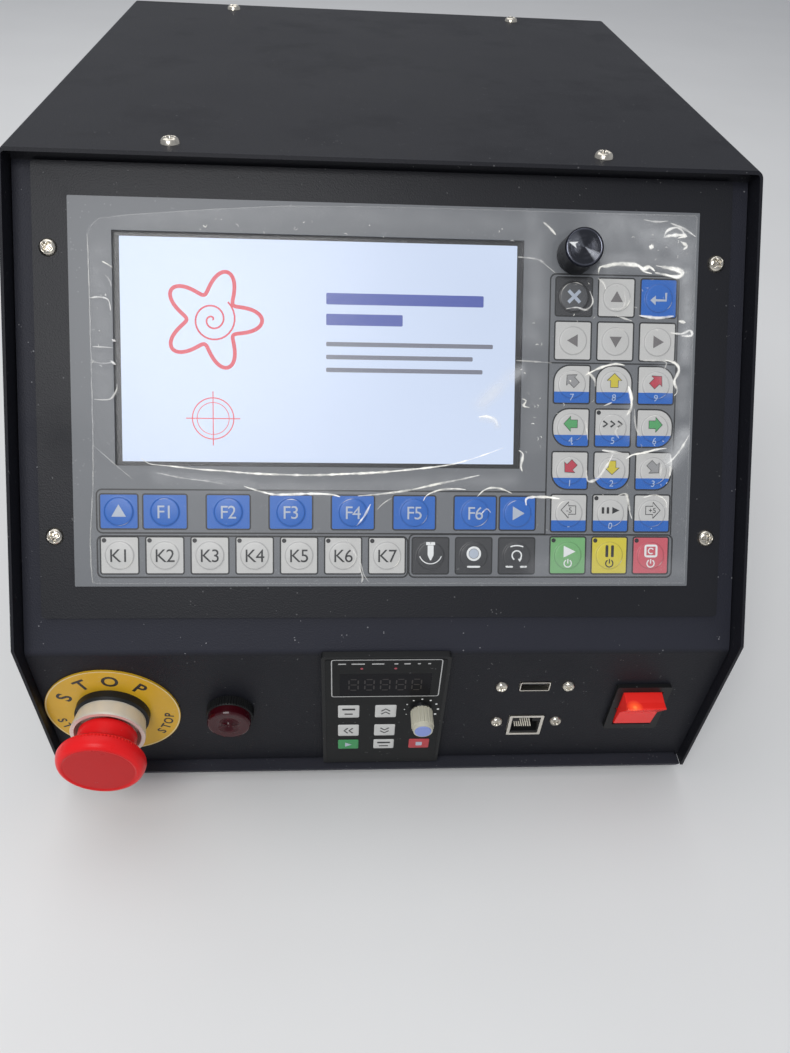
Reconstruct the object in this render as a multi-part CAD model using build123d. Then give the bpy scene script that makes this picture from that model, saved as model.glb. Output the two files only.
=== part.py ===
from build123d import *
import os
from math import cos, radians, sin

# Desk console of an engraving machine: a folded-sheet case with the motion controller in its sloping
# face, switches and sockets in the upright panel below, and the drives inside.
# Millimetres. X points to the operator's right, Y away from the operator, Z up.
# The origin lies on the table, below the middle of the console's overall length and width.

# Case: as wide as the controller's membrane, the plate's borders and the gaps beside the plate
overlay_width = 245.3
plate_border_x = 13.35
plate_side_gap = 9.0
sill_height = 88.0
face_above_plate = 1.9
face_lean = 38.0
case_depth = 381.7444
case_sheet = 1.2
bend_inside = 1.2
soft_fold_inside = 4.0
seam = 0.4
lip_play = 0.5
lip_bend_inside = 0.8
upper_recess = 9.0
lower_recess = 5.0
flange_depth = 20.0
flange_relief = 3.0
foot_height = 8.0
foot_radius = 10.0
foot_taper = 1.5
foot_inset_x = 32.0
foot_inset_y = 16.0

# Side vents: upright slots in each side wall
vent_slot_width = 3.2
vent_slot_length = 36.0
vent_pitch = 9.0
vent_count = 10
vent_centre_height = 62.0
vent_from_rear = 110.0

# Fasteners
m4 = 4.0
m3 = 3.0
screw_play = 0.2
nut_play = 0.05
head_radius_ratio = 0.95
head_height_ratio = 0.58
head_round_ratio = 0.6
cross_reach_ratio = 0.62
cross_width_ratio = 0.2
cross_depth_ratio = 0.55
nut_radius_ratio = 0.9
nut_height_ratio = 0.6
top_screw_from_side = 61.0
top_screw_front = 10.2
top_screw_rear = 12.0
side_screw_height = 11.0
side_screw_spacing = 110.0
socket_screw_length = 5.0
socket_flange_thickness = 2.0
socket_flange_margin = 3.5

# Controller in the sloping face; heights v run up the slope from the fold
overlay_height = 149.0
plate_border_v = 12.8
plate_thickness = 2.0
plate_corner = 1.5
plate_x = 0.3
plate_from_fold = 11.5
plate_screw_inset = 5.8
plate_screw_from_end = 32.3
overlay_thickness = 0.7
overlay_corner = 2.5
film_thickness = 0.2
film_hole_radius = 9.0
film_margin = 1.0
film_left_margin = 7.0
window_left_margin = 16.2
window_right_margin = 70.2
window_low_margin = 47.35
window_top_margin = 12.35
pane_thickness = 1.2
pane_play = 0.1
screen_border_x = 3.05
screen_border_v = 4.35
screen_thickness = 8.0
board_thickness = 1.6
board_play = 4.0
header_width = 30.0
header_height = 8.0
header_depth = 9.0
header_inset = 10.0
header_pitch = 40.0
header_count = 5
chip_size = 34.0
chip_thickness = 2.0
chip_offset = 20.0
housing_border_x = 19.0
housing_border_v = 19.3
housing_depth = 34.0
housing_sheet = 1.0
cutout_play = 2.0

# Keys of the membrane: centres from its edges
key_dome_radius = 5.6
key_dome_top = 5.0
key_dome_height = 0.4
key_row_from_low = 12.3
key_row_from_left = 17.35
key_row_to_pad = 20.95
key_row_count = 10
function_row_from_low = 29.5
function_first_from_left = 35.05
function_end_pitch = 17.15
function_count = 6
function_end_to_pad = 20.9
pad_from_right = 49.95
pad_from_low = 12.5
pad_column_pitch = 17.15
pad_below_dial = 16.0
pad_columns = 3
pad_rows = 7

# Turning knob of the controller
dial_from_right = 49.85
dial_from_top = 17.6
dial_radius = 7.5
dial_height = 13.0
dial_gap = 0.6
dial_edge = 0.6
dial_wall = 1.2
dial_recess = 4.0
dial_cap = 2.0
shaft_radius = 3.0
running_gap = 0.05
bush_radius = 3.5
bush_length = 6.5
bush_nut_radius = 5.2
bush_nut_thickness = 2.0
encoder_size = 12.0
encoder_depth = 7.0
encoder_floor = 1.5
panel_hole_play = 0.15

# Upright panel: devices on one line
device_height = 42.0
stop_from_side = 29.5
lamp_from_stop = 49.5
keypad_x = 0.0
port_from_rocker = 48.0
rocker_from_side = 32.0
usb_rise = 14.4
network_drop = 14.4

# Emergency stop
stop_label_radius = 28.0
stop_label_thickness = 0.8
stop_base_radius = 15.4
stop_base_thickness = 4.0
stop_collar_radius = 15.3
stop_collar_foot = 14.2
stop_collar_height = 7.6
stop_collar_wall = 1.6
stop_neck_radius = 12.0
stop_head_radius = 17.9
stop_head_face = 14.9
stop_head_dish = 0.4
stop_head_rise = 29.2
stop_head_thickness = 8.6
stop_head_back = 3.6
stop_travel = 5.0
stop_barrel_radius = 11.0
stop_barrel_length = 24.0
stop_nut_radius = 15.0
stop_nut_thickness = 5.0
stop_flutes = 80
stop_flute_radius = 0.5
contact_width = 30.0
contact_height = 40.0
contact_depth = 30.0
stop_cap_depth = 6.0
contact_terminal_x = 7.5
contact_terminal_width = 7.0
contact_terminal_depth = 5.0

# Pilot lamp
lamp_bezel_radius = 9.8
lamp_bezel_grooves = 48
lamp_groove_radius = 0.3
lamp_ring_pitch = 1.5
lamp_ring_width = 0.5
lamp_ring_depth = 0.3
lamp_ring_count = 5
lamp_bezel_height = 4.4
lamp_lens_radius = 9.2
lamp_height = 8.6
lamp_barrel_radius = 8.0
lamp_barrel_length = 24.0
lamp_nut_radius = 11.0
lamp_nut_thickness = 4.0

# Keypad of the spindle drive
keypad_width = 53.0
keypad_height = 77.4
keypad_proud = 3.0
keypad_corner = 1.2
keypad_body_margin = 3.0
keypad_body_depth = 20.0
keypad_face_margin = 1.6
keypad_face_thickness = 0.5
keypad_face_inset = 0.3
drive_key_width = 8.8
drive_key_height = 6.8
drive_key_rise = 0.22
drive_key_corner = 0.6
drive_key_from_left = 11.4
drive_key_from_right = 9.6
drive_key_columns = 3
drive_key_low_row = 15.5
drive_key_middle_row = 26.5
drive_key_high_row = 40.7
drive_window_width = 38.6
drive_window_height = 15.2
drive_window_from_top = 18.1
drive_window_depth = 0.15
speed_from_right = 10.2
speed_from_low = 41.7
speed_radius = 4.8
speed_height = 11.2
speed_cap_radius = 3.6
speed_cap_thickness = 0.8
speed_cap_inset = 0.4
speed_ribs = 18
speed_rib_radius = 0.45
speed_bush_radius = 3.5
pot_radius = 6.5
pot_depth = 6.0

# Sockets
usb_width = 13.1
usb_height = 5.8
usb_wall = 0.4
usb_depth = 14.0
usb_tongue_thickness = 1.9
usb_screw_span = 29.2
usb_flange_height = 10.0
network_width = 15.6
network_height = 14.6
network_frame = 1.3
network_wall = 0.4
network_depth = 20.0
network_plug_width = 11.9
network_plug_height = 7.6
network_latch_width = 6.2
network_latch_height = 2.4
network_cavity_depth = 14.0
network_screw_span = 27.0
network_screw_rise = 3.0
network_flange_height = 17.0
contact_pitch = 1.02
contact_strip = 0.45
socket_proud = 0.4

# Rocker switch
rocker_width = 24.2
rocker_height = 30.4
rocker_proud = 2.0
rocker_corner = 1.0
rocker_body_width = 21.0
rocker_body_height = 26.2
rocker_body_depth = 24.0
rocker_cavity_width = 17.8
rocker_cavity_height = 23.8
rocker_cavity_depth = 9.0
paddle_play = 0.4
paddle_swing = 11.0
paddle_ridge = 6.2
paddle_pivot_depth = 1.5
paddle_pin_radius = 1.5
paddle_pin_length = 1.2
paddle_skirt = 3.0
spade_width = 6.3
spade_thickness = 0.8
spade_length = 9.0

# Rear panel
fan_size = 80.0
fan_depth = 25.0
fan_bore_radius = 38.0
fan_hole_span = 71.5
fan_hole_radius = 2.2
fan_corner = 4.0
fan_x = 62.0
fan_height = 152.0
fan_hub_radius = 17.0
fan_blades = 7
fan_blade_tip = 36.8
fan_blade_chord = 15.0
fan_blade_thickness = 1.2
fan_root_angle = 48.0
fan_tip_angle = 28.0
fan_strut_width = 4.0
fan_strut_depth = 3.0
fan_motor_radius = 17.5
fan_end_gap = 2.0
fan_shaft_radius = 1.5
guard_thickness = 3.0
guard_ring_width = 2.0
guard_ring_step = 8.0
guard_hub_radius = 12.0
guard_spoke_width = 3.0
connector_count = 5
connector_from_side = 47.0
connector_pitch = 34.0
connector_height = 58.0
connector_barrel_radius = 7.9
connector_flange_radius = 9.8
connector_flange_thickness = 2.0
connector_reach = 13.0
connector_bore_radius = 6.6
connector_bore_depth = 10.0
connector_tail = 8.0
connector_pin_radius = 0.8
connector_pin_ring_radius = 3.2
connector_pin_length = 5.0
connector_pins = 4
inlet_from_side = 41.0
inlet_width = 50.0
inlet_height = 23.0
inlet_flange = 3.0
inlet_body_width = 27.6
inlet_body_height = 20.0
inlet_body_depth = 22.0
inlet_cavity_width = 24.4
inlet_cavity_height = 16.4
inlet_cavity_depth = 17.0
inlet_cavity_cut = 4.0
inlet_screw_span = 40.0
inlet_pin_pitch = 7.0
inlet_pin_width = 2.0
inlet_pin_height = 4.0
inlet_pin_length = 12.0
inlet_pin_stagger = 2.0

# Modules on the base
supply_length = 159.0
supply_width = 97.0
supply_height = 30.0
supply_step = 16.0
supply_from_side = 11.5
supply_from_rear = 45.0
driver_width = 34.0
driver_length = 118.0
driver_height = 75.5
driver_pitch = 42.0
driver_count = 3
driver_from_front = 57.0
driver_fin_depth = 9.0
driver_fins = 7
drive_width = 85.0
drive_depth = 113.0
drive_height = 142.0
drive_from_side = 20.5
drive_from_rear = 48.0
drive_fins = 9
drive_fin_depth = 28.0
module_screw_inset = 9.0
module_screw_bite = 6.0

# Worked out from the sizes above
plate_width = overlay_width + 2 * plate_border_x
plate_height = overlay_height + 2 * plate_border_v
plate_screw_span_x = plate_width - 2 * plate_screw_inset
plate_screw_span_v = plate_height - 2 * plate_screw_from_end
plate_v = plate_from_fold + plate_height / 2
face_length = plate_from_fold + plate_height + face_above_plate
case_width = plate_width + 2 * plate_side_gap
housing_width = plate_width - 2 * housing_border_x
housing_height = plate_height - 2 * housing_border_v
board_width = housing_width - 2 * board_play
board_height = housing_height - 2 * board_play
lean = radians(face_lean)
case_rise = face_length * cos(lean)
case_run = face_length * sin(lean)
top_depth = case_depth - case_run
case_height = sill_height + case_rise
stop_reach = stop_head_rise - lower_recess
length = stop_reach + case_depth + connector_reach
front_y = stop_reach - length / 2
rear_y = front_y + case_depth
top_front_y = front_y + case_run
base_z = foot_height
top_z = base_z + case_height
floor_z = base_z + case_sheet
half_width = case_width / 2
inner_width = case_width - 2 * (case_sheet + seam)
overlay_left = plate_x - overlay_width / 2
overlay_right = plate_x + overlay_width / 2
overlay_low = plate_v - overlay_height / 2
overlay_high = plate_v + overlay_height / 2
window_width = overlay_width - window_left_margin - window_right_margin
window_height = overlay_height - window_low_margin - window_top_margin
window_x = overlay_left + window_left_margin + window_width / 2
window_v = overlay_low + window_low_margin + window_height / 2
screen_width = window_width + 2 * screen_border_x
screen_height = window_height + 2 * screen_border_v
dial_x = overlay_right - dial_from_right
dial_v = overlay_high - dial_from_top
pad_x = overlay_right - pad_from_right
pad_v = overlay_low + pad_from_low
pad_row_pitch = (dial_v - pad_below_dial - pad_v) / (pad_rows - 1)
key_row_x = overlay_left + key_row_from_left
key_row_v = overlay_low + key_row_from_low
key_row_pitch = (pad_x - key_row_to_pad - key_row_x) / (key_row_count - 1)
function_first_x = overlay_left + function_first_from_left
function_row_v = overlay_low + function_row_from_low
function_end_x = pad_x - function_end_to_pad
function_pitch = (function_end_x - function_end_pitch - function_first_x) / (function_count - 1)
top_screw_x = half_width - top_screw_from_side
device_z = device_height
stop_x = -half_width + stop_from_side
lamp_x = stop_x + lamp_from_stop
rocker_x = half_width - rocker_from_side
port_x = rocker_x - port_from_rocker
connector_first_x = -half_width + connector_from_side
inlet_x = half_width - inlet_from_side
supply_x = -half_width + supply_from_side + supply_width / 2
drive_x = half_width - drive_from_side - drive_width / 2

# Working planes: local x runs right, local y up the panel, local z out of it
sill = Plane(origin=(0, front_y, base_z), x_dir=(1, 0, 0), z_dir=(0, -1, 0))
slope = Plane(
    origin=(0, front_y, base_z + sill_height), x_dir=(1, 0, 0), z_dir=(0, -cos(lean), sin(lean))
)
roof = Plane(origin=(0, top_front_y, top_z), x_dir=(1, 0, 0), z_dir=(0, 0, 1))
tail = Plane(origin=(0, rear_y, base_z), x_dir=(-1, 0, 0), z_dir=(0, 1, 0))
floor = Plane(origin=(0, 0, floor_z), x_dir=(1, 0, 0), z_dir=(0, 0, 1))
right = Plane(origin=(half_width, 0, base_z), x_dir=(0, 1, 0), z_dir=(1, 0, 0))
left = Plane(origin=(-half_width, 0, base_z), x_dir=(0, -1, 0), z_dir=(-1, 0, 0))

# Heights over the rim plane of the sloping face
fascia_top = -upper_recess
plate_top = fascia_top + plate_thickness
overlay_top = plate_top + overlay_thickness
dome_top = overlay_top + key_dome_height

# Height over the rim plane of the upright panel
panel_face = -lower_recess
panel_back = panel_face - case_sheet

made = {}


def at(plane, x, y, h=0.0):
    """Place on a working plane, h above it."""
    return plane.location * Pos(x, y, h)


def disc(radius, low, high):
    """Cylinder about the local z axis between two heights."""
    return Pos(0, 0, (low + high) / 2) * Cylinder(radius, high - low)


def block(width, height, low, high, corner=0.0):
    """Rectangular block about the local z axis between two heights, with rounded corners."""
    outline = RectangleRounded(width, height, corner) if corner else Rectangle(width, height)
    return Pos(0, 0, low) * extrude(outline, amount=high - low)


def tube(outer, inner, low, high):
    """Ring about the local z axis between two heights."""
    return Pos(0, 0, low) * extrude(Circle(outer) - Circle(inner), amount=high - low)


def turned(points):
    """Solid of revolution about the local z axis from its (radius, height) outline."""
    return revolve(make_face(Plane.XZ * Polyline(*points, close=True)), Axis.Z)


def pan_screw(thread, bite):
    """Pan-head screw with a cross recess, seated on the local xy plane, head up."""
    radius = thread * head_radius_ratio
    height = thread * head_height_ratio
    head = fillet(disc(radius, 0, height).edges().group_by(Axis.Z)[-1], height * head_round_ratio)
    reach = 2 * radius * cross_reach_ratio
    for size in ((reach, thread * cross_width_ratio), (thread * cross_width_ratio, reach)):
        head -= block(*size, height * (1 - cross_depth_ratio), height)
    return head + disc(thread / 2, -bite, 0)


def clinch_nut(thread):
    """Round press-in nut below the local xy plane."""
    return tube(thread * nut_radius_ratio, thread / 2 + nut_play, -thread * nut_height_ratio, 0)


def screw_hole(thread, depth):
    """Clearance hole for a screw, through sheet on both sides of the local xy plane."""
    return disc(thread / 2 + screw_play, -depth, depth)


def shifted(points, distance):
    """An open path of points moved to its left, with mitred corners."""
    runs = []
    for start, end in zip(points, points[1:]):
        way = (Vector(*end) - Vector(*start)).normalized()
        side = Vector(-way.Y, way.X) * distance
        runs.append((Vector(*start) + side, Vector(*end) + side, way))
    moved = [runs[0][0]]
    for (first, _, way), (second, _, turn) in zip(runs, runs[1:]):
        reach = (second - first).cross(turn).Z / way.cross(turn).Z
        moved.append(first + way * reach)
    moved.append(runs[-1][1])
    return [(p.X, p.Y) for p in moved]


def folded_section(points, thickness, inside_radii):
    """Section of a folded sheet whose face follows the points and whose metal lies to their left."""
    back = shifted(points, thickness)
    face_radii, back_radii = [], []
    for (a, b, c), inside in zip(zip(points, points[1:], points[2:]), inside_radii):
        turn = (Vector(*b) - Vector(*a)).cross(Vector(*c) - Vector(*b)).Z
        face_radii.append(inside + thickness if turn > 0 else inside)
        back_radii.append(inside if turn > 0 else inside + thickness)
    outline = FilletPolyline(*points, radius=face_radii) + FilletPolyline(*back, radius=back_radii)
    outline += Line(points[0], back[0]) + Line(points[-1], back[-1])
    return make_face(outline)


def write(name, *pieces):
    """Keep a node: one solid, or a group of separate solids."""
    made[name] = [solid for piece in pieces for solid in piece.solids()]


def slope_point(v, h):
    """(y, z) of a point on the sloping face, v up the slope and h above the rim plane."""
    return front_y + v * sin(lean) - h * cos(lean), base_z + sill_height + v * cos(lean) + h * sin(lean)


# Places of the cover screws, foot screws and nuts
top_front_places = [at(roof, x, top_screw_front) for x in (-top_screw_x, top_screw_x)]
top_rear_places = [at(roof, x, top_depth - top_screw_rear) for x in (-top_screw_x, top_screw_x)]
side_ys = [front_y + case_depth / 2 + k * side_screw_spacing for k in (-1, 0, 1)]
side_places = [at(right, y, side_screw_height) for y in side_ys]
side_places += [at(left, -y, side_screw_height) for y in side_ys]
foot_places = [
    Pos(x, y, base_z)
    for x in (-half_width + foot_inset_x, half_width - foot_inset_x)
    for y in (front_y + foot_inset_y, rear_y - foot_inset_y)
]

# Cover: roof and two sides folded from one sheet, its front edge cut to the profile of the face
case_outline = [
    (front_y, base_z),
    (front_y, base_z + sill_height),
    (top_front_y, top_z),
    (rear_y, top_z),
    (rear_y, base_z),
]
arch = folded_section(
    [(half_width, base_z), (half_width, top_z), (-half_width, top_z), (-half_width, base_z)],
    case_sheet,
    [bend_inside, bend_inside],
)
cover = Pos(0, front_y, 0) * extrude(Plane.XZ * arch, amount=-case_depth)
profile = make_face(Plane.YZ * Polyline(*case_outline, close=True))
cover &= extrude(profile, amount=case_width, both=True)
for place in top_front_places + top_rear_places + side_places:
    cover -= place * screw_hole(m4, 2 * case_sheet)
vent = SlotOverall(vent_slot_length, vent_slot_width, rotation=90)
vent_middle = rear_y - vent_from_rear
for k in range(vent_count):
    y = vent_middle + (k - (vent_count - 1) / 2) * vent_pitch
    for side, sign in ((right, 1), (left, -1)):
        slot = extrude(vent, amount=2 * case_sheet, both=True)
        cover -= at(side, sign * y, vent_centre_height) * slot
write("outer_cover", cover)

# Base tray: floor with two upturned flanges, notched behind the front panel and before the rear panel
tray_section = folded_section(
    [
        (-inner_width / 2, base_z + flange_depth),
        (-inner_width / 2, base_z),
        (inner_width / 2, base_z),
        (inner_width / 2, base_z + flange_depth),
    ],
    case_sheet,
    [bend_inside, bend_inside],
)
tray = Pos(0, front_y, 0) * extrude(Plane.XZ * tray_section, amount=-case_depth)
front_notch = lower_recess + flange_depth + flange_relief
rear_notch = flange_depth + flange_relief
for start, notch in ((front_y, front_notch), (rear_y - rear_notch, rear_notch)):
    clear_width = case_width - 2 * bend_inside
    notch_box = Box(clear_width * 2, notch, flange_depth, align=(Align.CENTER, Align.MIN, Align.MIN))
    tray -= Pos(0, start, floor_z) * notch_box
for place in foot_places:
    tray -= place * screw_hole(m4, 2 * case_sheet)
for place in side_places:
    tray -= place * screw_hole(m4, 4 * case_sheet)

# Rear panel: a pan with four flanges turned forward, relieved at its corners
pan_low = case_sheet
pan_high = case_height - case_sheet - seam
pan_height = pan_high - pan_low
pan_middle = (pan_low + pan_high) / 2
pan_bend = bend_inside + case_sheet
pan = at(tail, 0, pan_middle) * block(inner_width, pan_height, -flange_depth, 0)
pan = fillet(pan.edges().filter_by(Axis.Y, reverse=True).group_by(Axis.Y)[-1], pan_bend)
hollow = block(
    inner_width - 2 * case_sheet, pan_height - 2 * case_sheet, -2 * flange_depth, -case_sheet
)
pan -= at(tail, 0, pan_middle) * hollow
for x in (-inner_width / 2, inner_width / 2):
    for y in (pan_low, pan_high):
        relief = block(2 * flange_relief, 2 * flange_relief, -flange_depth, -pan_bend)
        pan -= at(tail, x, y) * relief
for place in top_rear_places + foot_places:
    pan -= place * screw_hole(m4, 4 * case_sheet)

# Front panel: flange under the roof, short upright lip above the plate, sloping face, soft fold,
# upright panel and a flange on the tray
flange_z = top_z - case_sheet - seam
lip_v = plate_v + plate_height / 2 + lip_play
lip_corner = slope_point(lip_v, fascia_top)
upright_y = front_y + lower_recess
fold_v = (lower_recess - upper_recess * cos(lean)) / sin(lean)
fold_corner = slope_point(fold_v, fascia_top)
fascia_points = [
    (lip_corner[0] + flange_depth, flange_z),
    (lip_corner[0], flange_z),
    lip_corner,
    fold_corner,
    (upright_y, floor_z),
    (upright_y + flange_depth, floor_z),
]
fascia_bends = [lip_bend_inside, lip_bend_inside, soft_fold_inside, bend_inside]
fascia_section = folded_section(fascia_points, case_sheet, fascia_bends)
fascia = extrude(Plane.YZ * fascia_section, amount=inner_width / 2, both=True)
# Its side flanges, notched at the fold
side_section = folded_section(fascia_points[2:5], flange_depth, [soft_fold_inside])
side_strip = extrude(Plane.YZ * side_section, amount=case_sheet)
fold_notch = Box(2 * case_sheet, flange_depth, 2 * flange_relief)
notch_y = fold_corner[0] + 2 * flange_relief + flange_depth / 2
side_strip -= Pos(0, notch_y, fold_corner[1]) * fold_notch
fascia += Pos(-inner_width / 2, 0, 0) * side_strip
fascia += Pos(inner_width / 2 - case_sheet, 0, 0) * side_strip
for place in top_front_places + foot_places:
    fascia -= place * screw_hole(m4, 4 * case_sheet)

# Openings in the sloping face
housing_opening = block(
    housing_width + 2 * cutout_play, housing_height + 2 * cutout_play, -2 * case_sheet, case_sheet
)
fascia -= at(slope, plate_x, plate_v, fascia_top) * housing_opening
plate_screws = [
    at(slope, plate_x + i * plate_screw_span_x / 2, plate_v + j * plate_screw_span_v / 2, plate_top)
    for i in (-1, 1)
    for j in (-1, 1)
]
for place in plate_screws:
    fascia -= place * screw_hole(m3, plate_thickness + 2 * case_sheet)


def panel_place(x, z, h=0.0):
    """Place on the upright panel's front face, h above it."""
    return at(sill, x, z, panel_face + h)


# Openings in the upright panel
stop_place = panel_place(stop_x, device_z)
lamp_place = panel_place(lamp_x, device_z)
keypad_place = panel_place(keypad_x, device_z)
usb_place = panel_place(port_x, device_z + usb_rise)
network_place = panel_place(port_x, device_z - network_drop)
rocker_place = panel_place(rocker_x, device_z)
keypad_body_width = keypad_width - 2 * keypad_body_margin
keypad_body_height = keypad_height - 2 * keypad_body_margin
panel_cut = 2 * case_sheet
fascia -= stop_place * disc(stop_barrel_radius + panel_hole_play, -panel_cut, panel_cut)
fascia -= lamp_place * disc(lamp_barrel_radius + panel_hole_play, -panel_cut, panel_cut)
for place, width, height in (
    (keypad_place, keypad_body_width, keypad_body_height),
    (usb_place, usb_width, usb_height),
    (network_place, network_width, network_height),
    (rocker_place, rocker_body_width, rocker_body_height),
):
    opening = block(width + 2 * seam, height + 2 * seam, -panel_cut, panel_cut)
    fascia -= place * opening
port_screws = [usb_place * Pos(i * usb_screw_span / 2, 0, 0) for i in (-1, 1)]
port_screws += [
    network_place * Pos(i * network_screw_span / 2, network_screw_rise, 0) for i in (-1, 1)
]
for place in port_screws:
    fascia -= place * screw_hole(m3, panel_cut)
write("front_fascia", fascia)

# Controller plate with the window and the knob's hole
dial_place = at(slope, dial_x, dial_v)
window_place = at(slope, window_x, window_v)
plate = at(slope, plate_x, plate_v) * block(
    plate_width, plate_height, fascia_top, plate_top, plate_corner
)
plate -= window_place * block(window_width, window_height, fascia_top, plate_top)
plate -= dial_place * disc(bush_radius + panel_hole_play, fascia_top, plate_top)
for place in plate_screws:
    plate -= place * screw_hole(m3, plate_thickness)
write("controller_plate", plate)
write("plate_screws", *[place * pan_screw(m3, plate_thickness + case_sheet + m3) for place in plate_screws])
plate_nut_place = Pos(0, 0, -plate_thickness - case_sheet)
write("plate_nuts", *[place * plate_nut_place * clinch_nut(m3) for place in plate_screws])


def key_centres():
    """(x, v) of every key on the membrane."""
    centres = [(key_row_x + k * key_row_pitch, key_row_v) for k in range(key_row_count)]
    centres += [(key_row_x, function_row_v), (function_end_x, function_row_v)]
    centres += [(function_first_x + k * function_pitch, function_row_v) for k in range(function_count)]
    for row in range(pad_rows):
        for column in range(pad_columns):
            centres.append((pad_x + column * pad_column_pitch, pad_v + row * pad_row_pitch))
    return centres


# Membrane: one film with a raised dome over each key
membrane = at(slope, plate_x, plate_v) * block(
    overlay_width, overlay_height, plate_top, overlay_top, overlay_corner
)
membrane -= window_place * block(window_width, window_height, plate_top, overlay_top)
membrane -= dial_place * disc(bush_radius + panel_hole_play, plate_top, overlay_top)
dome = Pos(0, 0, key_dome_height / 2) * Cone(key_dome_radius, key_dome_top, key_dome_height)
membrane += [at(slope, x, v, overlay_top) * dome for x, v in key_centres()]
write("keypad_overlay", membrane)

# Clear pane in the window, the display behind it, the board and the housing
pane_top = plate_top
pane = block(
    window_width - 2 * pane_play, window_height - 2 * pane_play, pane_top - pane_thickness, pane_top
)
write("display_window", window_place * pane)
screen_back = fascia_top - screen_thickness
screen = block(screen_width, screen_height, screen_back, fascia_top)
screen += block(
    window_width - 2 * pane_play,
    window_height - 2 * pane_play,
    fascia_top,
    pane_top - pane_thickness,
)
write("display_panel", window_place * screen)
board_back = screen_back - board_thickness
board_place = at(slope, plate_x, plate_v)
board = board_place * block(board_width, board_height, board_back, screen_back)
header = block(header_width, header_height, board_back - header_depth, board_back)
for k in range(header_count):
    header_x = (k - (header_count - 1) / 2) * header_pitch
    board += board_place * Pos(header_x, -board_height / 2 + header_inset, 0) * header
chip = block(chip_size, chip_size, board_back - chip_thickness, board_back, 1)
board += board_place * Pos(-chip_offset, chip_offset, 0) * chip
housing_back = fascia_top - housing_depth
housing = board_place * block(housing_width, housing_height, housing_back, fascia_top, plate_corner)
housing -= board_place * block(
    housing_width - 2 * housing_sheet,
    housing_height - 2 * housing_sheet,
    housing_back + housing_sheet,
    fascia_top,
)
write("controller_board", board)
write("controller_housing", housing)

# Clear protective film that lies on the domes, with a hole round the knob
film_x = plate_x + (film_left_margin - film_margin) / 2
film = at(slope, film_x, plate_v) * block(
    overlay_width - film_margin - film_left_margin,
    overlay_height - 2 * film_margin,
    dome_top,
    dome_top + film_thickness,
    overlay_corner,
)
film -= dial_place * disc(film_hole_radius, dome_top, dome_top + film_thickness)
write("protective_film", film)

# Knob, its shaft, the encoder behind the plate and the encoder's nut
bush_top = overlay_top + bush_length
dial_low = overlay_top + dial_gap
dial_high = overlay_top + dial_height
shaft_low = fascia_top - encoder_depth + encoder_floor
shaft_high = dial_high - dial_cap
dial = disc(dial_radius, dial_low, dial_high)
dial = fillet(dial.edges().group_by(Axis.Z)[-1], dial_edge)
dial -= disc(dial_radius - dial_wall, dial_low, dial_low + dial_recess)
dial -= disc(bush_radius + running_gap * 4, dial_low, bush_top + 1)
dial -= disc(shaft_radius + running_gap, dial_low, shaft_high)
write("jog_knob", dial_place * dial)
write("encoder_shaft", dial_place * disc(shaft_radius, shaft_low + running_gap, shaft_high))
encoder = block(encoder_size, encoder_size, fascia_top - encoder_depth, fascia_top, 1)
encoder += disc(bush_radius, fascia_top, bush_top)
encoder -= disc(shaft_radius + running_gap, shaft_low, bush_top)
write("encoder_body", dial_place * encoder)
nut = extrude(RegularPolygon(bush_nut_radius, 6), amount=bush_nut_thickness)
nut = Pos(0, 0, overlay_top) * nut - disc(bush_radius + nut_play, overlay_top, bush_top)
write("encoder_nut", dial_place * nut)

# Emergency stop: heights over the panel's front face
label = tube(stop_label_radius, stop_barrel_radius + panel_hole_play, 0, stop_label_thickness)
write("stop_label_ring", stop_place * label)
base_top = stop_label_thickness + stop_base_thickness
collar_top = base_top + stop_collar_height
stem_radius = shaft_radius
barrel_low = -stop_barrel_length
stop_base = disc(stop_base_radius, stop_label_thickness, base_top)
stop_base = chamfer(stop_base.edges().group_by(Axis.Z)[-1], seam * 2)
stop_base += disc(stop_barrel_radius, barrel_low, stop_label_thickness)
stop_base -= disc(stem_radius + running_gap, barrel_low, base_top)
write("stop_base", stop_place * stop_base)
cup_floor = 1.0
collar_inner = stop_collar_foot - stop_collar_wall
collar = turned(
    [
        (stem_radius + 1, base_top),
        (stop_collar_foot, base_top),
        (stop_collar_radius, collar_top - 1),
        (stop_collar_radius, collar_top),
        (stop_collar_radius - stop_collar_wall, collar_top),
        (collar_inner, base_top + cup_floor),
        (stem_radius + 1, base_top + cup_floor),
    ]
)
write("stop_collar", stop_place * collar)
neck_low = base_top + cup_floor + stop_travel + seam
cap_low = stop_head_rise - stop_head_thickness
stem_top = stop_head_rise - stop_cap_depth
head_outline = [
    (stem_radius + running_gap, neck_low),
    (stop_neck_radius - 0.8, neck_low),
    (stop_neck_radius, neck_low + 1),
    (stop_neck_radius, cap_low - 1.5),
    (stop_neck_radius + 1.2, cap_low),
    (stop_head_radius - 1.6, cap_low + stop_head_back * 0.3),
    (stop_head_radius - 0.4, cap_low + stop_head_back * 0.65),
    *[
        (
            stop_head_face + (stop_head_radius - stop_head_face) * cos(radians(turn)),
            cap_low + stop_head_back + (stop_head_thickness - stop_head_back) * sin(radians(turn)),
        )
        for turn in range(0, 91, 10)
    ],
    (stop_head_face - 2 * stop_head_dish, stop_head_rise - stop_head_dish),
    (0, stop_head_rise - stop_head_dish),
    (0, stem_top),
    (stem_radius + running_gap, stem_top),
]
head = turned(head_outline)
flute = disc(stop_flute_radius, cap_low - 4, cap_low + stop_head_back)
head -= [loc * flute for loc in PolarLocations(stop_head_radius, stop_flutes)]
write("stop_head", stop_place * head)
stem_low = barrel_low - 1
write("stop_stem", stop_place * disc(stem_radius, stem_low, stem_top - seam))
stop_nut_low = -case_sheet - stop_nut_thickness
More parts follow.
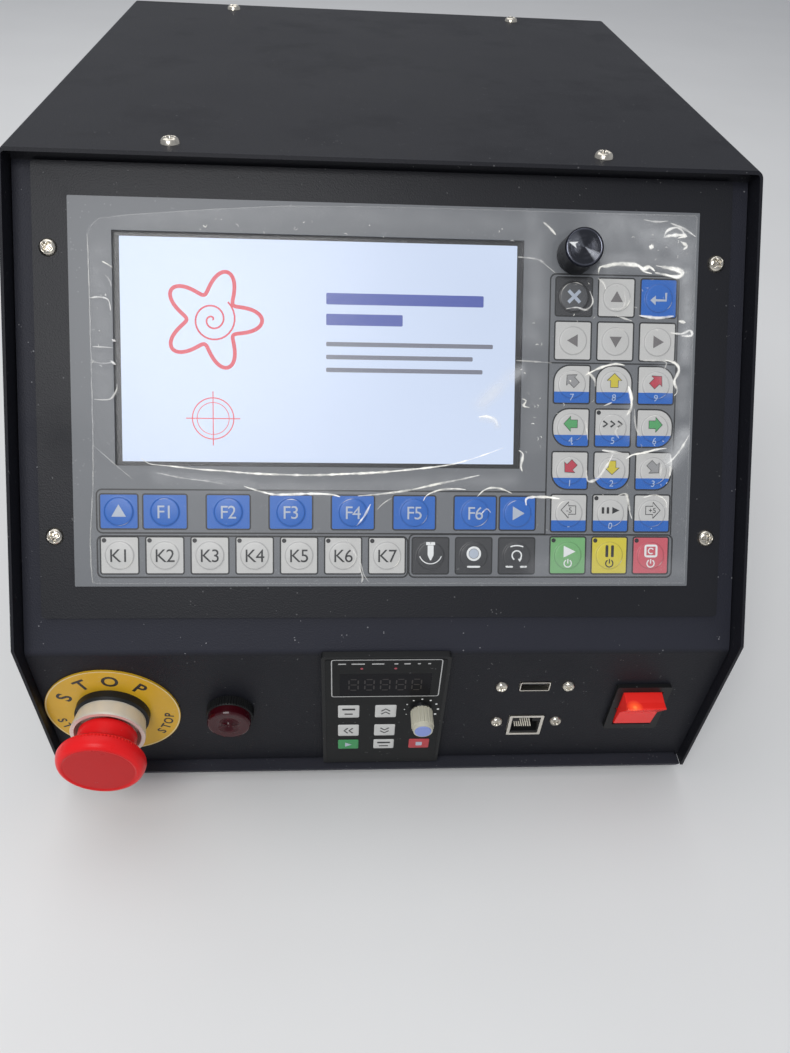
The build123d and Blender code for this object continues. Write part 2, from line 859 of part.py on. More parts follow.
stop_nut = tube(stop_nut_radius, stop_barrel_radius + nut_play, stop_nut_low, -case_sheet)
write("stop_nut", stop_place * stop_nut)
contact_top = barrel_low
contact = block(contact_width, contact_height, contact_top - contact_depth, contact_top, 1.5)
contact -= disc(stem_radius + seam, contact_top - stop_travel - 4, contact_top)
for x in (-contact_terminal_x, contact_terminal_x):
    for y in (-1, 1):
        terminal = block(contact_terminal_width, contact_terminal_depth, -3, 3)
        contact -= Pos(x, y * contact_height / 2, contact_top - contact_depth / 2) * terminal
write("stop_contact_block", stop_place * contact)

# Pilot lamp
lamp_body = disc(lamp_bezel_radius, 0, lamp_bezel_height)
lamp_body = chamfer(lamp_body.edges().group_by(Axis.Z)[-1], seam)
groove = disc(lamp_groove_radius, 0, lamp_bezel_height)
lamp_body -= [loc * groove for loc in PolarLocations(lamp_bezel_radius, lamp_bezel_grooves)]
lamp_body += disc(lamp_barrel_radius, -lamp_barrel_length, 0)
lamp_body -= disc(lamp_barrel_radius - 2, lamp_bezel_height - 2, lamp_bezel_height)
write("lamp_body", lamp_place * lamp_body)
lens = disc(lamp_lens_radius, lamp_bezel_height, lamp_height)
lens = fillet(lens.edges().group_by(Axis.Z)[-1], 1.2)
for k in range(1, lamp_ring_count + 1):
    ring = k * lamp_ring_pitch
    lens -= tube(ring, ring - lamp_ring_width, lamp_height - lamp_ring_depth, lamp_height)
lens += disc(lamp_barrel_radius - 2 - seam, lamp_bezel_height - 2 + seam, lamp_bezel_height)
write("lamp_lens", lamp_place * lens)
lamp_nut = extrude(RegularPolygon(lamp_nut_radius, 6), amount=-lamp_nut_thickness)
lamp_nut = Pos(0, 0, -case_sheet) * lamp_nut
lamp_nut -= disc(lamp_barrel_radius + nut_play, -case_sheet - lamp_nut_thickness, -case_sheet)
write("lamp_nut", lamp_place * lamp_nut)

# Keypad of the spindle drive: case, printed face, speed knob and its potentiometer
speed_x = keypad_width / 2 - speed_from_right
speed_rise = speed_from_low - keypad_height / 2
speed_place = keypad_place * Pos(speed_x, speed_rise, keypad_proud)
pad_case = block(keypad_width, keypad_height, 0, keypad_proud, keypad_corner)
pad_case += block(keypad_body_width, keypad_body_height, -keypad_body_depth, 0, keypad_corner)
face_width = keypad_width - 2 * keypad_face_margin
face_height = keypad_height - 2 * keypad_face_margin
face_low = keypad_proud - keypad_face_inset
pad_case -= block(face_width + 2 * pane_play, face_height + 2 * pane_play, face_low, keypad_proud, 1)
pot_low = -keypad_body_depth + 2
pot_top = pot_low + pot_depth
pot_pocket = Pos(speed_x, speed_rise, 0) * disc(pot_radius + seam, pot_low, face_low)
pad_case -= pot_pocket
write("drive_keypad_case", keypad_place * pad_case)
pad_face = block(face_width, face_height, face_low, face_low + keypad_face_thickness, 1)
pad_face -= Pos(speed_x, speed_rise, 0) * disc(speed_bush_radius + seam, 0, keypad_proud + 1)
face_front = face_low + keypad_face_thickness
drive_window = block(drive_window_width, drive_window_height, face_front - drive_window_depth, face_front)
pad_face -= Pos(0, keypad_height / 2 - drive_window_from_top, 0) * drive_window
drive_key_pitch = (keypad_width - drive_key_from_left - drive_key_from_right) / (drive_key_columns - 1)
rows = [(drive_key_low_row, drive_key_columns)]
rows += [(row, drive_key_columns - 1) for row in (drive_key_middle_row, drive_key_high_row)]
drive_key_front = face_front + drive_key_rise
raised_key = block(drive_key_width, drive_key_height, face_low, drive_key_front, drive_key_corner)
for row, columns in rows:
    for column in range(columns):
        key_x = drive_key_from_left - keypad_width / 2 + column * drive_key_pitch
        pad_face += Pos(key_x, row - keypad_height / 2, 0) * raised_key
write("drive_keypad_face", keypad_place * pad_face)
face_top = face_front - keypad_proud
pot_bush_top = face_top + 1.2
pot = disc(pot_radius, pot_low - keypad_proud, pot_top - keypad_proud)
pot += disc(speed_bush_radius, pot_top - keypad_proud, pot_bush_top)
pot -= disc(shaft_radius + running_gap, pot_low - keypad_proud + 1.5, pot_bush_top)
write("speed_pot", speed_place * pot)
knob_low = face_top + 1.5
knob_high = face_top + speed_height
pot_shaft_low = pot_low - keypad_proud + 1.5 + running_gap
pot_shaft_high = knob_high - speed_cap_thickness - 2
ribs = Circle(speed_radius)
ribs -= [loc * Circle(speed_rib_radius) for loc in PolarLocations(speed_radius + 0.1, speed_ribs)]
speed_knob = Pos(0, 0, knob_low) * extrude(ribs, amount=knob_high - knob_low - 2)
speed_knob += Pos(0, 0, knob_high - 1) * Cone(speed_radius - 0.3, speed_cap_radius + 0.5, 2)
speed_knob -= disc(shaft_radius + running_gap, knob_low, pot_shaft_high)
speed_knob -= disc(speed_cap_radius, knob_high - speed_cap_thickness, knob_high)
write("speed_knob", speed_place * speed_knob)
cap_high = knob_high + speed_cap_inset
speed_cap = disc(speed_cap_radius - running_gap, knob_high - speed_cap_thickness, cap_high)
speed_cap = fillet(speed_cap.edges().group_by(Axis.Z)[-1], speed_cap_inset)
write("speed_knob_cap", speed_place * speed_cap)
write("speed_shaft", speed_place * disc(shaft_radius, pot_shaft_low, pot_shaft_high - running_gap))

# Data socket: folded metal shell and its insert with the tongue
usb = block(usb_width, usb_height, -usb_depth, socket_proud, 0.8)
usb_flange_width = usb_screw_span + 2 * socket_flange_margin
flange_back = -case_sheet - socket_flange_thickness
usb += block(usb_flange_width, usb_flange_height, flange_back, -case_sheet, 1)
usb -= block(usb_width - 2 * usb_wall, usb_height - 2 * usb_wall, -usb_depth, socket_proud, 0.5)
for i in (-1, 1):
    usb -= Pos(i * usb_screw_span / 2, 0, 0) * disc(m3 / 2 + nut_play, flange_back, -case_sheet)
write("usb_shell", usb_place * usb)
usb_inside_width = usb_width - 2 * usb_wall - 2 * running_gap
usb_inside_height = usb_height - 2 * usb_wall - 2 * running_gap
usb_insert = block(usb_inside_width, usb_inside_height, -usb_depth, -usb_depth + 3, 0.4)
tongue = block(usb_inside_width - 1.2, usb_tongue_thickness, -usb_depth + 3, -0.8)
usb_insert += Pos(0, usb_inside_height / 4 - 0.4, 0) * tongue
write("usb_insert", usb_place * usb_insert)

# Network socket: metal shield, insert with the plug's opening, eight spring contacts
shield = block(network_width, network_height, -network_depth, socket_proud, 0.5)
network_flange_width = network_screw_span + 2 * socket_flange_margin
shield += block(network_flange_width, network_flange_height, flange_back, -case_sheet, 1)
shield_inside = block(
    network_width - 2 * network_wall,
    network_height - 2 * network_wall,
    -network_depth + network_wall,
    0,
)
shield -= shield_inside
shield -= block(network_width - 2 * network_frame, network_height - 2 * network_frame, -1, socket_proud)
for i in (-1, 1):
    tapped = disc(m3 / 2 + nut_play, flange_back, -case_sheet)
    shield -= Pos(i * network_screw_span / 2, network_screw_rise, 0) * tapped
write("network_shield", network_place * shield)
insert_width = network_width - 2 * network_wall - 2 * running_gap
insert_height = network_height - 2 * network_wall - 2 * running_gap
insert = block(insert_width, insert_height, -network_depth + network_wall, -running_gap)
plug_drop = -insert_height / 2 + network_plug_height / 2 + 2
plug_low = -network_cavity_depth
insert -= Pos(0, plug_drop, 0) * block(network_plug_width, network_plug_height, plug_low, 1)
latch_rise = plug_drop + network_plug_height / 2 + network_latch_height / 2
insert -= Pos(0, latch_rise, 0) * block(network_latch_width, network_latch_height, plug_low, 1)
write("network_insert", network_place * insert)
contact_floor = plug_drop - network_plug_height / 2
contacts = [
    network_place
    * Pos((k - 3.5) * contact_pitch, contact_floor, -network_cavity_depth / 2)
    * Box(contact_strip, 0.6, network_cavity_depth - 5, align=(Align.CENTER, Align.MIN, Align.CENTER))
    for k in range(8)
]
write("network_contacts", *contacts)

# Rocker switch: bezel with hollow body, paddle on two pins, spade terminals
rocker_body = block(rocker_width, rocker_height, 0, rocker_proud, rocker_corner)
rocker_body += block(rocker_body_width, rocker_body_height, -rocker_body_depth, 0)
rocker_body -= block(
    rocker_cavity_width, rocker_cavity_height, rocker_proud - rocker_cavity_depth, rocker_proud
)
pivot_h = rocker_proud - paddle_pivot_depth
cross_pin = Rot(0, 90, 0) * Cylinder(
    paddle_pin_radius + running_gap, rocker_cavity_width + 2 * paddle_pin_length + 2 * running_gap
)
rocker_body -= Pos(0, 0, pivot_h) * cross_pin
write("rocker_body", rocker_place * rocker_body)
paddle_width = rocker_cavity_width - 2 * paddle_play
half_paddle = rocker_cavity_height / 2 - paddle_play * 3
swing = radians(paddle_swing)
ridge_drop = half_paddle * sin(swing) / cos(swing)
paddle_section = [
    (-half_paddle, pivot_h - paddle_skirt),
    (-half_paddle, paddle_ridge - ridge_drop),
    (0, paddle_ridge),
    (half_paddle, paddle_ridge - ridge_drop),
    (half_paddle, pivot_h - paddle_skirt),
    (0, pivot_h - paddle_skirt - 1),
]
paddle_face = make_face(Plane.YZ * Polyline(*paddle_section, close=True))
paddle = extrude(paddle_face, amount=paddle_width / 2, both=True)
paddle += Pos(0, 0, pivot_h) * Rot(0, 90, 0) * Cylinder(
    paddle_pin_radius, rocker_cavity_width + 2 * paddle_pin_length
)
paddle_tilt = Pos(0, 0, pivot_h) * Rot(paddle_swing, 0, 0) * Pos(0, 0, -pivot_h)
write("rocker_paddle", rocker_place * paddle_tilt * paddle)
spade = block(spade_width, spade_thickness, -rocker_body_depth - spade_length, -rocker_body_depth)
spades = [
    rocker_place * Pos(x, y, 0) * spade
    for x in (-rocker_body_width / 4, rocker_body_width / 4)
    for y in (-rocker_body_height / 4, rocker_body_height / 4)
]
write("rocker_terminals", *spades)

# Fans: frame with motor bracket, lofted impeller, square guard outside, long screws
fan_places = [at(tail, x, fan_height) for x in (-fan_x, fan_x)]
fan_back = -case_sheet
fan_front = fan_back - fan_depth
frame = block(fan_size, fan_size, fan_front, fan_back, fan_corner)
frame -= disc(fan_bore_radius, fan_front, fan_back)
bracket_top = fan_front + fan_strut_depth
frame += disc(fan_motor_radius, fan_front, bracket_top)
for k in range(4):
    strut = Pos(fan_bore_radius / 2 + 2, 0, 0) * block(
        fan_bore_radius, fan_strut_width, fan_front, bracket_top
    )
    frame += Rot(0, 0, 45 + 90 * k) * strut
frame -= disc(fan_shaft_radius + running_gap, fan_front, bracket_top)
fan_holes = [Pos(i * fan_hole_span / 2, j * fan_hole_span / 2, 0) for i in (-1, 1) for j in (-1, 1)]
for place in fan_holes:
    frame -= place * disc(m4 / 2 + nut_play, fan_front, fan_back)
hub_low = bracket_top + fan_end_gap / 2
hub_high = fan_back - fan_end_gap
rotor = disc(fan_hub_radius, hub_low, hub_high)
rotor = fillet(rotor.edges().group_by(Axis.Z)[-1], 1.5)
rotor += disc(fan_shaft_radius, fan_front + running_gap, hub_low)
blade_middle = (hub_low + hub_high) / 2


def blade_station(radius, pitch, chord):
    """Section of a blade on a plane square to its radius."""
    chord_way = (0, cos(radians(pitch)), sin(radians(pitch)))
    plane = Plane(origin=(radius, 0, blade_middle), x_dir=chord_way, z_dir=(1, 0, 0))
    return plane * Rectangle(chord, fan_blade_thickness)


fan_mid_radius = (fan_hub_radius + fan_blade_tip) / 2
fan_mid_angle = (fan_root_angle + fan_tip_angle) / 2
blade = loft(
    [
        blade_station(fan_hub_radius - 2, fan_root_angle, fan_blade_chord * 0.9),
        blade_station(fan_mid_radius, fan_mid_angle, fan_blade_chord),
        blade_station(fan_blade_tip, fan_tip_angle, fan_blade_chord * 1.15),
    ],
    ruled=True,
)
blade &= disc(fan_blade_tip, hub_low, hub_high)
rotor += [Rot(0, 0, 360 / fan_blades * k) * blade for k in range(fan_blades)]
guard = Rectangle(fan_size, fan_size) - Circle(fan_bore_radius)
ring_radius = guard_hub_radius + guard_ring_step
while ring_radius < fan_bore_radius - guard_ring_width:
    guard += Circle(ring_radius) - Circle(ring_radius - guard_ring_width)
    ring_radius += guard_ring_step
for angle in (0, 90):
    guard += Rot(0, 0, angle) * Rectangle(2 * fan_bore_radius + 2, guard_spoke_width)
guard += Circle(guard_hub_radius)
guard -= [place * Circle(fan_hole_radius) for place in fan_holes]
guard = extrude(guard, amount=guard_thickness)
fan_screw_bite = guard_thickness + case_sheet + fan_depth - 3
fan_screws = [
    place * hole * Pos(0, 0, guard_thickness) * pan_screw(m4, fan_screw_bite)
    for place in fan_places
    for hole in fan_holes
]
for side, place in zip(("right", "left"), fan_places):
    write(f"fan_rotor_{side}", place * rotor)
    pan -= place * disc(fan_bore_radius, -flange_depth, 1)
    for hole in fan_holes:
        pan -= place * hole * disc(fan_hole_radius, -2 * case_sheet, 1)
write("fan_frames", *[place * frame for place in fan_places])
write("fan_guards", *[place * guard for place in fan_places])
write("fan_screws", *fan_screws)

# Round sockets for the axis cables
connector_places = [
    at(tail, connector_first_x + k * connector_pitch, connector_height) for k in range(connector_count)
]
connector = disc(connector_barrel_radius, -case_sheet - connector_tail, connector_reach)
connector += disc(connector_flange_radius, 0, connector_flange_thickness)
connector -= disc(connector_bore_radius, connector_reach - connector_bore_depth, connector_reach)
bore_floor = connector_reach - connector_bore_depth
pins = [
    loc * disc(connector_pin_radius, bore_floor, bore_floor + connector_pin_length)
    for loc in PolarLocations(connector_pin_ring_radius, connector_pins)
]
ring_nut = tube(connector_flange_radius, connector_barrel_radius + nut_play, -case_sheet - 2.5, -case_sheet)
for place in connector_places:
    pan -= place * disc(connector_barrel_radius + panel_hole_play, -2 * case_sheet, 1)
write("axis_sockets", *[place * connector for place in connector_places])
write("axis_socket_pins", *[place * pin for place in connector_places for pin in pins])
write("axis_socket_nuts", *[place * ring_nut for place in connector_places])

# Mains inlet with three pins
inlet_place = at(tail, inlet_x, connector_height)
inlet = block(inlet_width, inlet_height, 0, inlet_flange, 2)
inlet += block(inlet_body_width, inlet_body_height, -inlet_body_depth, 0)
cavity_half = inlet_cavity_width / 2
cavity_rise = inlet_cavity_height / 2
cavity = Polyline(
    (-cavity_half, -cavity_rise),
    (cavity_half, -cavity_rise),
    (cavity_half, cavity_rise - inlet_cavity_cut),
    (cavity_half - inlet_cavity_cut, cavity_rise),
    (-cavity_half + inlet_cavity_cut, cavity_rise),
    (-cavity_half, cavity_rise - inlet_cavity_cut),
    close=True,
)
cavity_floor = inlet_flange - inlet_cavity_depth
inlet -= Pos(0, 0, cavity_floor) * extrude(make_face(cavity), amount=inlet_cavity_depth)
inlet_screws = [inlet_place * Pos(i * inlet_screw_span / 2, 0, 0) for i in (-1, 1)]
for i in (-1, 1):
    inlet -= Pos(i * inlet_screw_span / 2, 0, 0) * disc(m3 / 2 + screw_play, 0, inlet_flange)
write("mains_inlet", inlet_place * inlet)
inlet_pins = [
    inlet_place
    * Pos(k * inlet_pin_pitch, inlet_pin_stagger * (1 if k == 0 else -1), 0)
    * block(inlet_pin_width, inlet_pin_height, cavity_floor, cavity_floor + inlet_pin_length)
    for k in (-1, 0, 1)
]
write("inlet_pins", *inlet_pins)
pan -= inlet_place * block(inlet_body_width + 2 * seam, inlet_body_height + 2 * seam, -2 * case_sheet, 1)
for place in inlet_screws:
    pan -= place * screw_hole(m3, 2 * case_sheet)
socket_screws = port_screws + [place * Pos(0, 0, inlet_flange) for place in inlet_screws]
write("socket_screws", *[place * pan_screw(m3, socket_screw_length) for place in socket_screws])
write("rear_panel", pan)

# Modules bolted to the floor of the tray
module_screws = []


def bolt_down(module, corners):
    """Tapped holes in a module's underside, with their screws and the holes in the tray."""
    global tray
    for x, y in corners:
        place = Pos(x, y, base_z)
        module -= Pos(x, y, floor_z) * disc(m3 / 2 + nut_play, 0, module_screw_bite)
        tray -= place * screw_hole(m3, 2 * case_sheet)
        module_screws.append(place * Rot(180, 0, 0) * pan_screw(m3, case_sheet + module_screw_bite - 1))
    return module


def corners_of(x, y, width, depth, inset):
    """Four corners of a module's foot, inset from its edges."""
    reach_x, reach_y = width / 2 - inset, depth / 2 - inset
    return [(x + i * reach_x, y + j * reach_y) for i in (-1, 1) for j in (-1, 1)]


# Power supply: metal case, stepped down over its terminal strip
supply_y = rear_y - supply_from_rear - supply_length / 2
supply = Pos(supply_x, supply_y, floor_z) * block(supply_width, supply_length, 0, supply_height)
step = Pos(supply_x, supply_y - supply_length / 2 + supply_step / 2, floor_z)
supply -= step * block(supply_width - 2, supply_step, 2, supply_height)
supply_inset = module_screw_inset + supply_step
supply_corners = corners_of(supply_x, supply_y, supply_width, supply_length, supply_inset)
write("power_supply", bolt_down(supply, supply_corners))

# Three stepper drivers on edge, with cooling fins on one side
driver_y = front_y + driver_from_front + driver_length / 2
drivers = []
for k in range(driver_count):
    driver_x = (k - driver_count / 2) * driver_pitch
    driver = Pos(driver_x, driver_y, floor_z) * block(driver_width, driver_length, 0, driver_height, 1)
    for fin in range(driver_fins):
        groove_z = floor_z + driver_height * (fin + 1) / (driver_fins + 1)
        groove = Box(2 * driver_fin_depth, driver_length, driver_height / (driver_fins + 1) / 2)
        driver -= Pos(driver_x + driver_width / 2, driver_y, groove_z) * groove
    ends = [(driver_x - 4, driver_y + j * (driver_length / 2 - module_screw_inset)) for j in (-1, 1)]
    drivers.append(bolt_down(driver, ends))
write("stepper_drivers", *drivers)

# Spindle drive: upright body with a finned rear
drive_y = rear_y - drive_from_rear - drive_depth / 2
drive_place = Pos(drive_x, drive_y, floor_z)
drive = drive_place * block(drive_width, drive_depth, 0, drive_height, 3)
drive_fin_pitch = drive_width / (drive_fins + 1)
gap = Box(drive_fin_pitch / 2, 2 * drive_fin_depth, 2 * drive_height)
for k in range(drive_fins):
    gap_x = -drive_width / 2 + drive_fin_pitch * (k + 1)
    drive -= drive_place * Pos(gap_x, drive_depth / 2, 0) * gap
drive_body_depth = drive_depth - drive_fin_depth
drive_body_y = drive_y - drive_fin_depth / 2
drive_corners = corners_of(drive_x, drive_body_y, drive_width, drive_body_depth, module_screw_inset)
write("spindle_drive", bolt_down(drive, drive_corners))

# Feet, cover screws and nuts
foot_cone = Cone(foot_radius, foot_radius - foot_taper, foot_height)
foot = Pos(0, 0, -foot_height / 2) * Rot(180, 0, 0) * foot_cone
foot -= disc(m4 / 2 + screw_play, -foot_height, 0)
foot_seat = -foot_height / 2
foot -= disc(m4 * head_radius_ratio + screw_play, -foot_height, foot_seat)
write("rubber_feet", *[place * foot for place in foot_places])
foot_bite = -foot_seat + 2 * case_sheet + m4 * nut_height_ratio
foot_screw = Pos(0, 0, foot_seat) * Rot(180, 0, 0) * pan_screw(m4, foot_bite)
write("foot_screws", *[place * foot_screw for place in foot_places])
cover_bite = 2 * case_sheet + seam + m4 * nut_height_ratio
write(
    "cover_screws",
    *[place * pan_screw(m4, cover_bite) for place in top_front_places + top_rear_places + side_places],
)
nut_below = Pos(0, 0, -2 * case_sheet - seam)
nut_above = Pos(0, 0, 2 * case_sheet) * Rot(180, 0, 0)
nuts = [place * nut_below * clinch_nut(m4) for place in top_rear_places + side_places]
nuts += [place * nut_above * clinch_nut(m4) for place in foot_places]
write("clinch_nuts", *nuts)
write("module_screws", *module_screws)
write("base_tray", tray)

os.makedirs("parts", exist_ok=True)
for name, solids in made.items():
    export_step(solids[0] if len(solids) == 1 else Compound(solids), f"parts/{name}.step")
print(len(made), "nodes")
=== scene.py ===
import math
import random
from collections import namedtuple

import bmesh
import bpy
from bpy.props import FloatProperty, FloatVectorProperty, PointerProperty
from mathutils import Matrix, Vector, noise


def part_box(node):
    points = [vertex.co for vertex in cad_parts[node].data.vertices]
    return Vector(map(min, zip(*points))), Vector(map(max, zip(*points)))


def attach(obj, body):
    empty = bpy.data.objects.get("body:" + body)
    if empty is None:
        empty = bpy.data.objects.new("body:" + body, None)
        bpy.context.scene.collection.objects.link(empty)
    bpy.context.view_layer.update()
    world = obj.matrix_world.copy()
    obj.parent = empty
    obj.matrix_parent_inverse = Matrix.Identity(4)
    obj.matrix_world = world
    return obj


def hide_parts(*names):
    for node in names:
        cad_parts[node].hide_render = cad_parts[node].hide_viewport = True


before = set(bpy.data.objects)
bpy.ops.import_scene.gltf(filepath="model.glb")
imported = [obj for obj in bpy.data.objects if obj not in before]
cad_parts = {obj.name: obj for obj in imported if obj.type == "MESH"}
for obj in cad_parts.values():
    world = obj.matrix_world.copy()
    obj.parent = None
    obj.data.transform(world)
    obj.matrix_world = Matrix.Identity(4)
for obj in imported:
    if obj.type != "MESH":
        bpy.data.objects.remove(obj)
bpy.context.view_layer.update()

bl_info = {
    "name": "Engraving machine console",
    "version": (1, 0, 0),
    "blender": (4, 5, 0),
    "location": "View3D > Sidebar > Console",
    "description": "Dresses the packed console with its printed keys, film, marks, screws and finishes",
    "category": "Object",
}

MM = 0.001
SHELL_LOW, SHELL_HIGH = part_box("outer_cover")


def middle(node):
    """Centre of a node's box at rest."""
    low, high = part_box(node)
    return (low + high) / 2


# Sizes and colours

def length(name, description, default):
    return FloatProperty(name=name, description=description, default=default, unit="LENGTH")


def colour(name, description, default):
    return FloatVectorProperty(name=name, description=description, default=default, subtype="COLOR", size=3,
                               min=0.0, max=1.0)


class ConsoleSizes(bpy.types.PropertyGroup):
    """Places of the sloping face and what lies on it."""

    sill_height: length("Sill height", "Upright panel, from the case's bottom to the fold", 88 * MM)
    face_lean: FloatProperty(name="Face lean", description="Lean of the sloping face from upright",
                             default=math.radians(38), subtype="ANGLE")
    overlay_drop: length("Membrane depth", "Membrane's face below the rim plane", 6.3 * MM)
    plate_drop: length("Plate depth", "Plate's face below the rim plane", 7.0 * MM)
    screen_drop: length("Screen depth", "Lit screen's face below the rim plane", 8.15 * MM)
    film_left: length("Film's left edge", "Left edge of the clear film from the middle", -114.5 * MM)
    drive_key_rise: length("Drive key rise", "Raised keys over the drive keypad's face", 0.22 * MM)


class ConsoleColours(bpy.types.PropertyGroup):
    """Base colours of the finishes."""

    shell: colour("Shell", "Textured powder coat of the case", (0.0095, 0.0100, 0.0140))
    # Lower lip: lighter than the shell as painted light from above, besides its dust.
    lip: colour("Lower lip", "Dusty powder coat of the tray, lightened as painted light", (0.0247, 0.0260, 0.0364))
    plate: colour("Plate", "Satin coat of the controller's plate", (0.0100, 0.0105, 0.0140))
    membrane: colour("Membrane", "Grey ground of the keypad", (0.155, 0.163, 0.174))
    key_light: colour("Light keys", "Pale grey keys", (0.565, 0.56, 0.54))
    key_blue: colour("Blue keys", "Blue keys and bands", (0.022, 0.135, 0.50))
    key_dark: colour("Dark keys", "Dark grey keys", (0.050, 0.051, 0.054))
    key_green: colour("Green key", "Start key", (0.18, 0.43, 0.17))
    key_yellow: colour("Yellow key", "Pause key", (0.66, 0.56, 0.05))
    key_red: colour("Red key", "Reset key", (0.60, 0.11, 0.14))
    ink_dark: colour("Dark ink", "Dark printed marks", (0.018, 0.018, 0.020))
    ink_white: colour("White ink", "White printed marks", (0.80, 0.81, 0.80))
    stop_red: colour("Stop red", "Emergency stop's head", (0.84, 0.016, 0.018))
    stop_grey: colour("Collar grey", "Emergency stop's collar", (0.82, 0.79, 0.71))
    label_yellow: colour("Label yellow", "Emergency stop's round plate", (0.70, 0.41, 0.02))
    lamp_red: colour("Lamp red", "Pilot lamp's lens", (0.040, 0.002, 0.005))
    rocker_red: colour("Rocker red", "Lit rocker", (0.72, 0.02, 0.015))
    screen: colour("Screen", "Lit screen's ground", (0.61, 0.71, 0.91))


class StageSettings(bpy.types.PropertyGroup):
    """Camera, lamps and floor."""

    lens: FloatProperty(name="Lens", description="Focal length in millimetres", default=27.96)
    key_power: FloatProperty(name="Key lamp", description="Overhead lamp's power", default=10.0, unit="POWER")
    fill_power: FloatProperty(name="Fill lamp", description="Front lamp's power", default=9.8, unit="POWER")
    world_strength: FloatProperty(name="World", description="Strength of the plain surroundings", default=0.42)
    floor: colour("Floor", "Pale floor", (0.80, 0.80, 0.79))


# Working frames

def frame_from(origin, right, up, out):
    """Matrix that takes local millimetres (right, up, out) to the row frame in metres."""
    rows = [[right[i] * MM, up[i] * MM, out[i] * MM, origin[i]] for i in range(3)]
    return Matrix(rows + [[0, 0, 0, 1]])


def slope_frame(drop=0.0):
    """Sloping face: right, up the slope from the fold, out; drop in metres below the rim plane."""
    sizes = bpy.context.scene.console_sizes
    lean = sizes.face_lean
    up, out = Vector((0, math.sin(lean), math.cos(lean))), Vector((0, -math.cos(lean), math.sin(lean)))
    origin = Vector((0, SHELL_LOW.y, SHELL_LOW.z + sizes.sill_height)) - out * drop
    return frame_from(origin, (1, 0, 0), up, out)


def upright_frame(x, y, z):
    """Upright panel: right, up, out to the front."""
    return frame_from((x, y, z), (1, 0, 0), (0, 0, 1), (0, -1, 0))


def panel_frame(node, front):
    """Upright panel, centred on a node, its face at the world y of front."""
    centre = middle(node)
    return upright_frame(centre.x, front, centre.z)


# Shader building

class Graph:
    """Short names for adding and joining the nodes of one tree."""

    def __init__(self, tree):
        self.tree = tree

    def add(self, kind, **values):
        node = self.tree.nodes.new(kind)
        for key, value in values.items():
            setattr(node, key, value)
        return node

    def join(self, source, target):
        self.tree.links.new(source, target)

    def put(self, value, slot):
        """A number, a colour, a point or a socket into a slot."""
        if isinstance(value, bpy.types.NodeSocket):
            self.join(value, slot)
        else:
            slot.default_value = (*value, 1) if slot.type == "RGBA" and len(value) == 3 else value

    def where(self):
        """Object coordinates of the shaded point."""
        return self.add("ShaderNodeTexCoord").outputs["Object"]

    def group(self, name, values):
        """Outputs of a shared effect."""
        node = self.add("ShaderNodeGroup", node_tree=bpy.data.node_groups[name])
        set_inputs(node, values)
        return node.outputs

    def math(self, operation, *values):
        node = self.add("ShaderNodeMath", operation=operation)
        for slot, value in zip(node.inputs, values):
            self.put(value, slot)
        return node.outputs[0]

    def vector(self, operation, *values):
        node = self.add("ShaderNodeVectorMath", operation=operation)
        for slot, value in zip(node.inputs, values):
            self.put(value, slot)
        return node.outputs["Value" if operation in ("DISTANCE", "LENGTH", "DOT_PRODUCT") else "Vector"]

    def axis(self, vector, name):
        parts = self.add("ShaderNodeSeparateXYZ")
        self.join(vector, parts.inputs[0])
        return parts.outputs[name]

    def noise(self, vector, scale, detail=2.0, roughness=0.5):
        node = self.add("ShaderNodeTexNoise")
        for key, value in (("Vector", vector), ("Scale", scale), ("Detail", detail), ("Roughness", roughness)):
            self.put(value, node.inputs[key])
        return node.outputs["Fac"]

    def ramp(self, factor, *stops):
        """A colour ramp; a bare number in a stop stands for a grey."""
        node = self.add("ShaderNodeValToRGB")
        marks = node.color_ramp.elements
        while len(marks) < len(stops):
            marks.new(0.5)
        for mark, (place, value) in zip(marks, stops):
            mark.position = place
            mark.color = (*value, 1) if isinstance(value, tuple) else (value, value, value, 1)
        self.join(factor, node.inputs[0])
        return node.outputs[0]

    def mix(self, factor, a, b, blend="MIX"):
        node = self.add("ShaderNodeMix", data_type="RGBA", blend_type=blend)
        for index, value in ((0, factor), (6, a), (7, b)):
            self.put(value, node.inputs[index])
        return node.outputs[2]

    def bump(self, shader, height, strength, distance):
        node = self.add("ShaderNodeBump")
        set_inputs(node, {"Strength": strength, "Distance": distance})
        self.join(height, node.inputs["Height"])
        self.join(node.outputs[0], shader.inputs["Normal"])


def set_inputs(node, values):
    for key, value in values.items():
        slot = node.inputs[key]
        slot.default_value = (*value, 1) if slot.type == "RGBA" and len(value) == 3 else value


def effect(name, inputs, outputs):
    """A node group with named sockets: its graph, what it is given and what it puts out."""
    tree = bpy.data.node_groups.new(name, "ShaderNodeTree")
    for label, default in inputs.items():
        kind = "NodeSocketVector" if isinstance(default, tuple) else "NodeSocketFloat"
        tree.interface.new_socket(name=label, in_out="INPUT", socket_type=kind).default_value = default
    for label in outputs:
        tree.interface.new_socket(name=label, in_out="OUTPUT", socket_type="NodeSocketFloat")
    graph = Graph(tree)
    return graph, graph.add("NodeGroupInput").outputs, graph.add("NodeGroupOutput").inputs


def coat_grain_group():
    """Pebbled surface of a powder coat or moulding: height and a tone that varies slowly."""
    g, given, out = effect("Coat Grain", {"Grain Scale": 2600.0, "Patch Scale": 14.0, "Patch Depth": 0.12},
                           ("Height", "Tone"))
    where = g.where()
    g.join(g.noise(where, given["Grain Scale"], 1.0, 0.4), out["Height"])
    patches = g.noise(where, given["Patch Scale"], 3.0, 0.55)
    swing = g.math("MULTIPLY", g.math("SUBTRACT", patches, 0.5), given["Patch Depth"])
    g.join(g.math("ADD", g.math("MULTIPLY", swing, 2.0), 1.0), out["Tone"])


